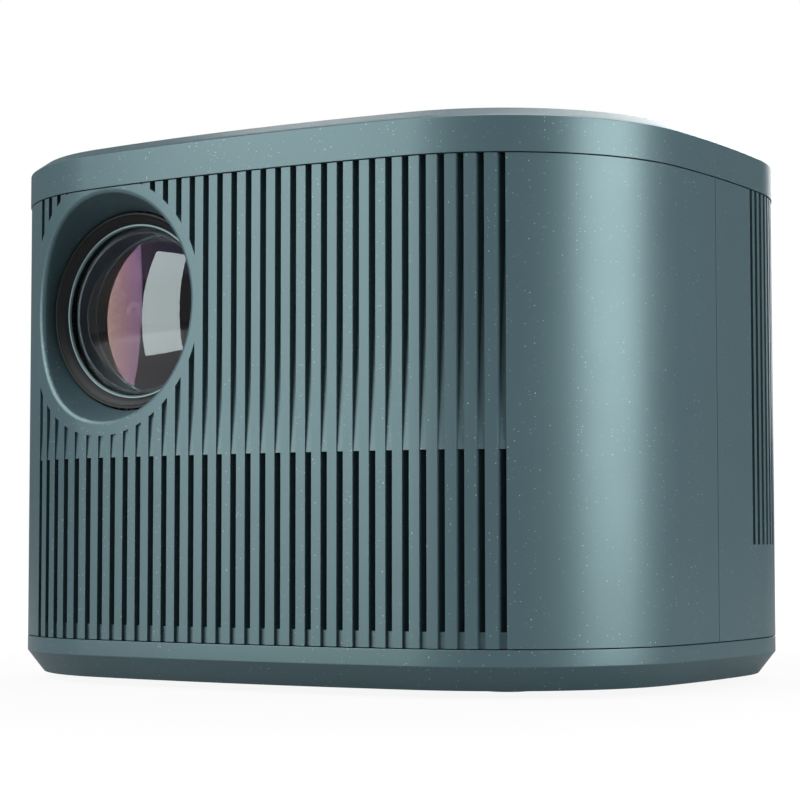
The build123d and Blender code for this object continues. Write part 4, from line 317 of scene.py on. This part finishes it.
aluminium = drawn_metal("extruded_aluminium", (0.80, 0.81, 0.82), "X", 0.28, 0.42)
brass = drawn_metal("knurled_brass", (0.78, 0.58, 0.28), "Z")
mirror = Finish("front_silvered_mirror", (0.93, 0.94, 0.95), 0.02, 1.0)
panel = Finish("display_panel", (0.02, 0.02, 0.03), 0.08)
front_glass = Finish("front_lens_glass", (0.93, 0.96, 0.98), 0.0, Transmission_Weight=1.0, IOR=1.65)
coated_glass = Finish("coated_lens_glass", (0.92, 0.95, 0.97), 0.0, Transmission_Weight=1.0, IOR=1.6,
                      Thin_Film_Thickness=480.0, Thin_Film_IOR=1.9)
fresnel = Finish("fresnel_sheet", (0.9, 0.92, 0.94), 0.05, Transmission_Weight=1.0, IOR=1.49)


# ---------------------------------------------------------------- finishes with printed or plated areas
ARROW_FROM = 14.6 * MM          # the arrows' flat side, from the middle key's centre
ARROW_TIP = 17.4 * MM
OK_RING = (2.3 * MM, 3.0 * MM)
POWER_RING = (2.1 * MM, 2.7 * MM)
POWER_GAP = 0.9 * MM            # half of the ring's opening
POWER_BAR = 0.3 * MM            # half of the bar's width
POWER_BAR_REACH = (0.8 * MM, 3.0 * MM)
PRINT_COLOUR = (0.55, 0.60, 0.60)
TONGUE_HALF = 0.65 * MM
TONGUE_SETBACK = 1.9 * MM
HDMI_TONGUE_Z = BOARD_TOP + 3.7 * MM
USB_TONGUE_Z = BOARD_TOP + 4.8 * MM
INLET_PIN_OFFSET = 4.3 * MM
INLET_PIN_REACH = 1.25 * MM
AV_BORE_OFFSET = 4.0 * MM
AV_BORE_RISE = 3.2 * MM
AV_BORE_REACH = 2.3 * MM
TRACE_PITCH = 1.6 * MM
TRACE_HALF = 0.3 * MM
LED_DIE_RADIUS = 9.5 * MM
LED_DIE_RISE = 2.3 * MM


def key_marks(finish):
    """Printed arrows on the four direction keys, a ring on the middle key and a power sign."""
    x, y, z = finish.axes()
    reach, across, along = finish.offsets(x, y, OK_KEY)
    far = finish.math("MAXIMUM", finish.size(across), finish.size(along))
    near = finish.math("MINIMUM", finish.size(across), finish.size(along))
    slope = finish.math("LESS_THAN", near, finish.math("SUBTRACT", ARROW_TIP, far))
    arrows = finish.both(finish.between(far, ARROW_FROM, ARROW_TIP), slope)
    ring = finish.between(reach, *OK_RING)
    reach, across, along = finish.offsets(x, y, POWER_KEY)
    opening = finish.both(finish.math("LESS_THAN", finish.size(across), POWER_GAP),
                          finish.math("GREATER_THAN", along, 0.0))
    arc = finish.both(finish.between(reach, *POWER_RING), finish.without(opening))
    bar = finish.both(finish.math("LESS_THAN", finish.size(across), POWER_BAR),
                      finish.between(along, *POWER_BAR_REACH))
    finish.tint(finish.either(arrows, ring, arc, bar), PRINT_COLOUR)


def port_shell(name, tongue_z):
    """Plated jack shell with a black plastic tongue at a height."""
    finish = drawn_metal(name, (0.66, 0.67, 0.68), "X", 0.25, 0.4)
    x, y, z = finish.axes()
    tongue = finish.both(finish.between(z, tongue_z - TONGUE_HALF, tongue_z + TONGUE_HALF),
                         finish.math("LESS_THAN", y, JACK_FRONT - TONGUE_SETBACK))
    finish.tint(tongue, (0.012, 0.012, 0.013))
    return finish.wire("Metallic", finish.without(tongue))


def socket_plastic(name, centre_x, centre_z, offset, reach):
    """Black plastic with two plated contacts, left and right of a centre."""
    finish = fine_plastic(name, (0.010, 0.010, 0.011))
    x, y, z = finish.axes()
    contacts = [finish.math("LESS_THAN", finish.offsets(x, z, (centre_x + side * offset, centre_z))[0], reach)
                for side in (-1, 1)]
    plated = finish.either(*contacts)
    finish.tint(plated, (0.72, 0.70, 0.64))
    return finish.wire("Metallic", plated)


def circuit_board(name, top, parts):
    """Green solder mask with copper traces under it, and parts in another colour above a height."""
    finish = fine_plastic(name, (0.015, 0.09, 0.035), 0.3, 0.4, 0.1)
    x, y, z = finish.axes()
    wandering = finish.math("ADD", x, noise(finish.tree, finish.place(), 30.0))
    lines = finish.math("PINGPONG", wandering, TRACE_PITCH)
    finish.tint(finish.math("LESS_THAN", lines, TRACE_HALF), (0.03, 0.16, 0.06))
    finish.tint(finish.math("GREATER_THAN", z, top), parts)
    return finish


def led_mount():
    """Bright plate with the yellow phosphor of the lamp in its middle."""
    finish = drawn_metal("led_plate", (0.80, 0.81, 0.82), "Y", 0.3, 0.45)
    x, y, z = finish.axes()
    reach = finish.offsets(y, z, LED[1:])[0]
    phosphor = finish.both(finish.math("LESS_THAN", reach, LED_DIE_RADIUS),
                           finish.math("LESS_THAN", x, LED_PLATE_X + LED_DIE_RISE))
    finish.tint(phosphor, (0.80, 0.62, 0.06))
    return finish.wire("Metallic", finish.without(phosphor))


key_marks(key_plastic)
hdmi_metal = port_shell("hdmi_shell", HDMI_TONGUE_Z)
usb_metal = port_shell("usb_shell", USB_TONGUE_Z)
inlet_plastic = socket_plastic("power_inlet", INLET[0], INLET[2], INLET_PIN_OFFSET, INLET_PIN_REACH)
av_plastic = socket_plastic("av_jacks", AV_JACKS[0], BOARD_TOP + AV_BORE_RISE, AV_BORE_OFFSET, AV_BORE_REACH)
main_green = circuit_board("main_circuit_board", BOARD_TOP + 0.1 * MM, (0.016, 0.016, 0.018))
key_green = circuit_board("keypad_circuit_board", KEYPAD_TOP, (0.62, 0.62, 0.63))
led_plate = led_mount()


# ---------------------------------------------------------------- finishes on the CAD pieces
FINISH_OF = {
    shell: ("front_cover", "rear_cover", "top_cap", "base_tray", "tray_bezel"),
    key_plastic: ("key_power", "key_ok", "key_up", "key_left", "key_down", "key_right", "eject_key"),
    barrel_black: ("lens_barrel",),
    black_plastic: (
        "lens_mount", "engine_housing", "engine_lid", "mid_frame", "loader_chassis",
        "exhaust_frame", "exhaust_impeller", "lcd_fan_frame", "lcd_fan_impeller", "speaker_frames",
        "clamp_puck", "turntable", "pickup_sled"),
    tray_plastic: ("disc_tray",),
    acetal: ("drive_gear", "belt_pulley", "focus_ring", "focus_pinion", "cam_slider"),
    rubber: ("feet", "drive_belt"),
    paper: ("speaker_cones",),
    front_glass: ("front_lens",),
    coated_glass: ("rear_lens",),
    fresnel: ("light_lenses",),
    panel: ("lcd_panel",),
    mirror: ("fold_mirror",),
    aluminium: ("led_heatsink",),
    led_plate: ("led_module",),
    zinc: ("clamp_bridge", "traverse_frame"),
    hdmi_metal: ("hdmi_ports",),
    usb_metal: ("usb_ports",),
    inlet_plastic: ("power_inlet",),
    av_plastic: ("av_jacks",),
    steel: ("guide_rods", "lead_screw", "base_screws", "motor_pulley"),
    motor_can: ("loading_motor", "focus_motor", "spindle_motor", "sled_motor"),
    brass: ("mount_insert",),
    main_green: ("main_board", "psu_board"),
    key_green: ("keypad_board",),
}
for finish, names in FINISH_OF.items():
    for name in names:
        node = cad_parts[name]
        node.data.materials.clear()
        node.data.materials.append(finish.material)


# ---------------------------------------------------------------- moulded edges
EDGE_ROUND = 0.25 * MM
SHARP_FROM = radians(35)
FLAT_BELOW = radians(0.4)


def round_edges(name):
    """Small moulded rounding on every sharp edge of a CAD node."""
    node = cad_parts[name]
    weld = node.modifiers.new("weld", "WELD")
    weld.merge_threshold = 0.002 * MM
    flat = node.modifiers.new("flat", "DECIMATE")
    flat.decimate_type = "DISSOLVE"
    flat.angle_limit = FLAT_BELOW
    bevel = node.modifiers.new("edge", "BEVEL")
    bevel.width = EDGE_ROUND
    bevel.segments = 2
    bevel.limit_method = "ANGLE"
    bevel.angle_limit = SHARP_FROM
    weighted = node.modifiers.new("shade", "WEIGHTED_NORMAL")
    weighted.weight = 90


for name in FINISH_OF[shell]:
    round_edges(name)


# ---------------------------------------------------------------- lens details
LENS_TURN = Matrix.Translation((LENS_X, 0, LENS_Z)) @ Matrix.Rotation(radians(-90), 4, "X")
TURN_STEPS = 128
BARREL_Y = BARREL_FRONT / MM            # from here on in millimetres, as the profiles are
GLASS_EDGE_Y = BARREL_Y + 3.1           # where the barrel's baffle ends at the front glass
BAFFLE_FRONT_Y = BARREL_Y + 0.4
BAFFLE_OUTER = 30.6
BAFFLE_INNER = 28.3
BAFFLE_RIBS = 8
CELL_Y = FRONT_GLASS_BACK / MM + 0.1    # front of the cell behind the front glass
CELL_OUTER = 25.3
ELEMENT_RADIUS = 24.4
ELEMENT_EDGE_Y = CELL_Y + 10.5
ELEMENT_THICK = 4.2
ELEMENT_CURVE = 150.0
ELEMENT_RINGS = 10
PAINTED_REFLECTION_FROM = -24.0 * MM               # ends of the painted reflection colours, from the lens axis
PAINTED_REFLECTION_TO = 12.0 * MM
# painted reflection: these colours, from orange over purple to indigo, stand in for the coloured reflection
# seen in the inner element
PAINTED_REFLECTION_COLOURS = (
    (0.0, (0.100, 0.058, 0.042)), (0.25, (0.062, 0.028, 0.034)), (0.45, (0.034, 0.017, 0.040)),
    (0.65, (0.015, 0.014, 0.036)), (1.0, (0.008, 0.011, 0.022)),
)


def turned_piece(name, profile, finish):
    """Closed profile of (radius, y) in millimetres turned about the lens axis, riding on the barrel."""
    bm = bmesh.new()
    line = [bm.verts.new((radius * MM, 0, y * MM)) for radius, y in profile]
    edges = [bm.edges.new(pair) for pair in zip(line, line[1:] + line[:1])]
    bmesh.ops.spin(bm, geom=line + edges, axis=(0, 0, 1), cent=(0, 0, 0), angle=2 * pi,
                   steps=TURN_STEPS, use_merge=True)
    bmesh.ops.remove_doubles(bm, verts=bm.verts, dist=0.001 * MM)
    bmesh.ops.recalc_face_normals(bm, faces=bm.faces)
    for face in bm.faces:
        face.smooth = True
    for edge in bm.edges:
        edge.smooth = edge.calc_face_angle(0.0) < radians(30)
    bm.transform(LENS_TURN)
    mesh = bpy.data.meshes.new(name)
    bm.to_mesh(mesh)
    bm.free()
    mesh.materials.append(finish.material)
    piece = bpy.data.objects.new(name, mesh)
    scene.collection.objects.link(piece)
    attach(piece, "lens_barrel")


def baffle_profile():
    """Saw-toothed front of the barrel, closed along the cone that it sits on."""
    fall = (GLASS_EDGE_Y - BAFFLE_FRONT_Y) / BAFFLE_RIBS
    draw = (BAFFLE_OUTER - BAFFLE_INNER) / BAFFLE_RIBS
    points = []
    for rib in range(BAFFLE_RIBS):
        radius = BAFFLE_OUTER - rib * draw
        y = BAFFLE_FRONT_Y + rib * fall
        points += [(radius, y), (radius - 0.15 * draw, y - 0.35 * fall), (radius - draw, y + 0.1 * fall)]
    points += [(BAFFLE_INNER, GLASS_EDGE_Y), (BAFFLE_INNER + 0.4, GLASS_EDGE_Y + 0.2),
               (BAFFLE_OUTER, BAFFLE_FRONT_Y + 0.4)]
    return points


def ring_profile():
    """Retaining ring of the front glass, with a chamfer at its outer and a slope at its inner side."""
    front = GLASS_EDGE_Y - 0.7
    return [(BAFFLE_INNER, GLASS_EDGE_Y), (BAFFLE_INNER, front + 0.2), (BAFFLE_INNER - 0.2, front),
            (BAFFLE_INNER - 0.6, front), (BAFFLE_INNER - 1.0, front + 0.4),
            (BAFFLE_INNER - 1.0, GLASS_EDGE_Y)]


def cell_profile():
    """Thin stepped cell that leads from the front glass to the inner element."""
    step = CELL_Y + 3.6
    back = CELL_Y + 9.9
    return [(CELL_OUTER, CELL_Y), (CELL_OUTER, step), (CELL_OUTER - 0.75, step + 0.2),
            (CELL_OUTER - 0.75, back), (CELL_OUTER - 1.1, back), (CELL_OUTER - 1.1, step + 0.5),
            (CELL_OUTER - 0.4, CELL_Y)]


def element_profile():
    """Inner element: a front of a large radius, a plain rim and a flat back."""
    def sag(radius):
        return ELEMENT_CURVE - (ELEMENT_CURVE ** 2 - radius ** 2) ** 0.5

    points = []
    for ring in range(ELEMENT_RINGS + 1):
        radius = ELEMENT_RADIUS * (1 - ring / ELEMENT_RINGS)
        points.append((radius, ELEMENT_EDGE_Y + sag(ELEMENT_RADIUS) - sag(radius)))
    back = ELEMENT_EDGE_Y + ELEMENT_THICK
    return points + [(0.0, back), (ELEMENT_RADIUS, back)]


def painted_reflection_surface():
    """Hollow inner element, a real mirror to the lens lamp, whose colour is a painted reflection running from
    orange over purple to indigo along X.
    """
    finish = Finish("inner_element_painted_reflection", (0.02, 0.022, 0.05), 0.015, 1.0)
    x, y, z = finish.axes()
    across = finish.math("SUBTRACT", x, LENS_X)
    ramp = finish.tree.nodes.new("ShaderNodeValToRGB")
    ends = ramp.color_ramp.elements
    for element, (position, colour) in zip(ends, (PAINTED_REFLECTION_COLOURS[0], PAINTED_REFLECTION_COLOURS[-1])):
        element.position = position
        element.color = (*colour, 1)
    for position, colour in PAINTED_REFLECTION_COLOURS[1:-1]:
        ends.new(position).color = (*colour, 1)
    # painted reflection: the colour is laid across the element by its X, not made by the lamps
    share = map_range(finish.tree, across, PAINTED_REFLECTION_FROM, PAINTED_REFLECTION_TO, soft=False)
    finish.tree.links.new(share, ramp.inputs["Fac"])
    return finish.wire("Base Color", ramp.outputs["Color"])


ring_metal = Finish("retaining_ring", (0.10, 0.15, 0.155), 0.3, 0.6)
cell_blue = Finish("lens_cell", (0.018, 0.045, 0.085), 0.35, Coat_Weight=0.3, Coat_Roughness=0.2)
inner_painted_reflection = painted_reflection_surface()
turned_piece("front_baffle", baffle_profile(), barrel_black)
turned_piece("retaining_ring", ring_profile(), ring_metal)
turned_piece("lens_cell", cell_profile(), cell_blue)
turned_piece("element_ring", [
    (ELEMENT_RADIUS + 0.1, ELEMENT_EDGE_Y - 0.5), (ELEMENT_RADIUS + 0.1, ELEMENT_EDGE_Y - 0.1),
    (ELEMENT_RADIUS - 0.7, ELEMENT_EDGE_Y - 0.1), (ELEMENT_RADIUS - 0.7, ELEMENT_EDGE_Y - 0.4),
], ring_metal)
turned_piece("inner_element", element_profile(), inner_painted_reflection)


# ---------------------------------------------------------------- stage, light and camera
FLOOR_HALF = 6.0
FLOOR_DROP = 0.0002
FLOOR_WHITE = 0.86              # share of the floor's own white that the camera sees, the rest is shaded
FLOOR_NEAR = 0.15               # metres from the middle, where the white starts to rise
FLOOR_FAR = 0.6
FLOOR_NEAR_WHITE = 1.06
FLOOR_FAR_WHITE = 1.2
AMBIENT = 0.12
GLASS_SURROUND = 0.03
GLOSS_SURROUND = 0.08
LAMP_TARGET = Vector((0, 0, 0.09))
CAMERA_PLACE = (0.40764, -0.64284, 0.04522)
CAMERA_TURN = 32.333            # degrees about the upright
CAMERA_TILT = 93.554
CAMERA_ROLL = -0.046
CAMERA_FOCUS = 101.65           # focal length in millimetres on a 36 mm wide picture


def add_floor():
    """Pale floor under the feet, white to the camera, so that only the shadow shows."""
    bm = bmesh.new()
    bmesh.ops.create_grid(bm, x_segments=1, y_segments=1, size=FLOOR_HALF)
    mesh = bpy.data.meshes.new("floor")
    bm.to_mesh(mesh)
    bm.free()
    floor = bpy.data.objects.new("floor", mesh)
    scene.collection.objects.link(floor)
    floor.location.z = -FLOOR_DROP
    pale = Finish("pale_floor", (0.3, 0.3, 0.3), 0.9)
    mesh.materials.append(pale.material)
    tree = pale.tree
    path = tree.nodes.new("ShaderNodeLightPath")
    glow = tree.nodes.new("ShaderNodeEmission")
    place = tree.nodes.new("ShaderNodeTexCoord")
    reach = tree.nodes.new("ShaderNodeVectorMath")
    reach.operation = "LENGTH"
    tree.links.new(place.outputs["Object"], reach.inputs[0])
    strength = map_range(tree, reach.outputs["Value"], FLOOR_NEAR, FLOOR_FAR,
                         FLOOR_NEAR_WHITE, FLOOR_FAR_WHITE)
    tree.links.new(strength, glow.inputs["Strength"])
    mix = tree.nodes.new("ShaderNodeMixShader")
    out = next(n for n in tree.nodes if n.type == "OUTPUT_MATERIAL")
    share = math_node(tree, "MULTIPLY", path.outputs["Is Camera Ray"], FLOOR_WHITE)
    tree.links.new(share, mix.inputs["Fac"])
    tree.links.new(pale.shader.outputs["BSDF"], mix.inputs[1])
    tree.links.new(glow.outputs["Emission"], mix.inputs[2])
    tree.links.new(mix.outputs["Shader"], out.inputs["Surface"])


def add_world():
    """Even studio surroundings, white where the camera, gloss and glass look at them."""
    world = bpy.data.worlds.new("studio")
    scene.world = world
    world.use_nodes = True
    tree = world.node_tree
    background = next(n for n in tree.nodes if n.type == "BACKGROUND")
    background.inputs["Color"].default_value = (1, 1, 1, 1)
    path = tree.nodes.new("ShaderNodeLightPath")
    level = map_range(tree, path.outputs["Is Camera Ray"], 0.0, 1.0, AMBIENT, 1.0, soft=False)
    seen = math_node(tree, "MULTIPLY", path.outputs["Is Transmission Ray"], GLASS_SURROUND)
    gloss = math_node(tree, "MULTIPLY", path.outputs["Is Glossy Ray"], GLOSS_SURROUND)
    level = math_node(tree, "MAXIMUM", level, seen)
    level = math_node(tree, "MAXIMUM", level, gloss)
    tree.links.new(level, background.inputs["Strength"])


def softbox(name, azimuth, elevation, distance, width, height, radiance):
    """Rectangular lamp seen from the object at an azimuth from -Y towards +X and an elevation."""
    lamp = bpy.data.lights.new(name, "AREA")
    lamp.shape = "RECTANGLE"
    lamp.size = width
    lamp.size_y = height
    lamp.energy = radiance * pi * width * height
    lamp_object = bpy.data.objects.new(name, lamp)
    scene.collection.objects.link(lamp_object)
    level = distance * cos(radians(elevation))
    towards = Vector((level * sin(radians(azimuth)), -level * cos(radians(azimuth)),
                      distance * sin(radians(elevation))))
    lamp_object.location = LAMP_TARGET + towards
    lamp_object.rotation_euler = (-towards).to_track_quat("-Z", "Y").to_euler()
    lamp_object.visible_camera = False
    return lamp_object


def linked(name, pieces, state):
    """Collection that lights only the given pieces, or all but them."""
    group = bpy.data.collections.new(name)
    for piece in pieces:
        group.objects.link(piece)
    for item in group.collection_objects:
        item.light_linking.link_state = state
    return group


LENS_PIECES = [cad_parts[name] for name in ("front_lens", "rear_lens")]
LENS_PIECES += [bpy.data.objects[name] for name in ("inner_element", "lens_cell", "element_ring")]
add_floor()
add_world()
general_lamps = [
    softbox("key_softbox", -30, 46, 1.3, 1.4, 0.9, 4.6),
    softbox("front_softbox", -26, 10, 1.3, 0.95, 1.1, 4.3),
    softbox("right_softbox", 90, 14, 1.2, 0.75, 0.8, 8.8),
    softbox("top_softbox", 165, 68, 1.3, 1.2, 1.0, 2.2),
    softbox("rear_softbox", 200, 22, 1.4, 1.1, 1.0, 4.2),
]
for lamp in general_lamps:
    lamp.light_linking.receiver_collection = linked("not_" + lamp.name, LENS_PIECES, "EXCLUDE")
lens_lamp = softbox("lens_softbox", -21, -8, 0.5, 0.176, 0.82, 6.0)
lens_lamp.data.color = (0.86, 1.0, 1.0)
lens_lamp.light_linking.receiver_collection = linked("lens_glass", LENS_PIECES, "INCLUDE")
lens_lamp.light_linking.blocker_collection = linked("lens_shade", [], "INCLUDE")


def add_camera():
    """Low camera to the right of the lens side."""
    lens = bpy.data.cameras.new("camera")
    lens.sensor_width = 36.0
    lens.lens = CAMERA_FOCUS
    lens.clip_start = 0.01
    camera = bpy.data.objects.new("camera", lens)
    scene.collection.objects.link(camera)
    camera.location = CAMERA_PLACE
    turn = Matrix.Rotation(radians(CAMERA_TURN), 4, "Z") @ Matrix.Rotation(radians(CAMERA_TILT), 4, "X")
    camera.rotation_euler = (turn @ Matrix.Rotation(radians(CAMERA_ROLL), 4, "Z")).to_euler()
    scene.camera = camera


add_camera()
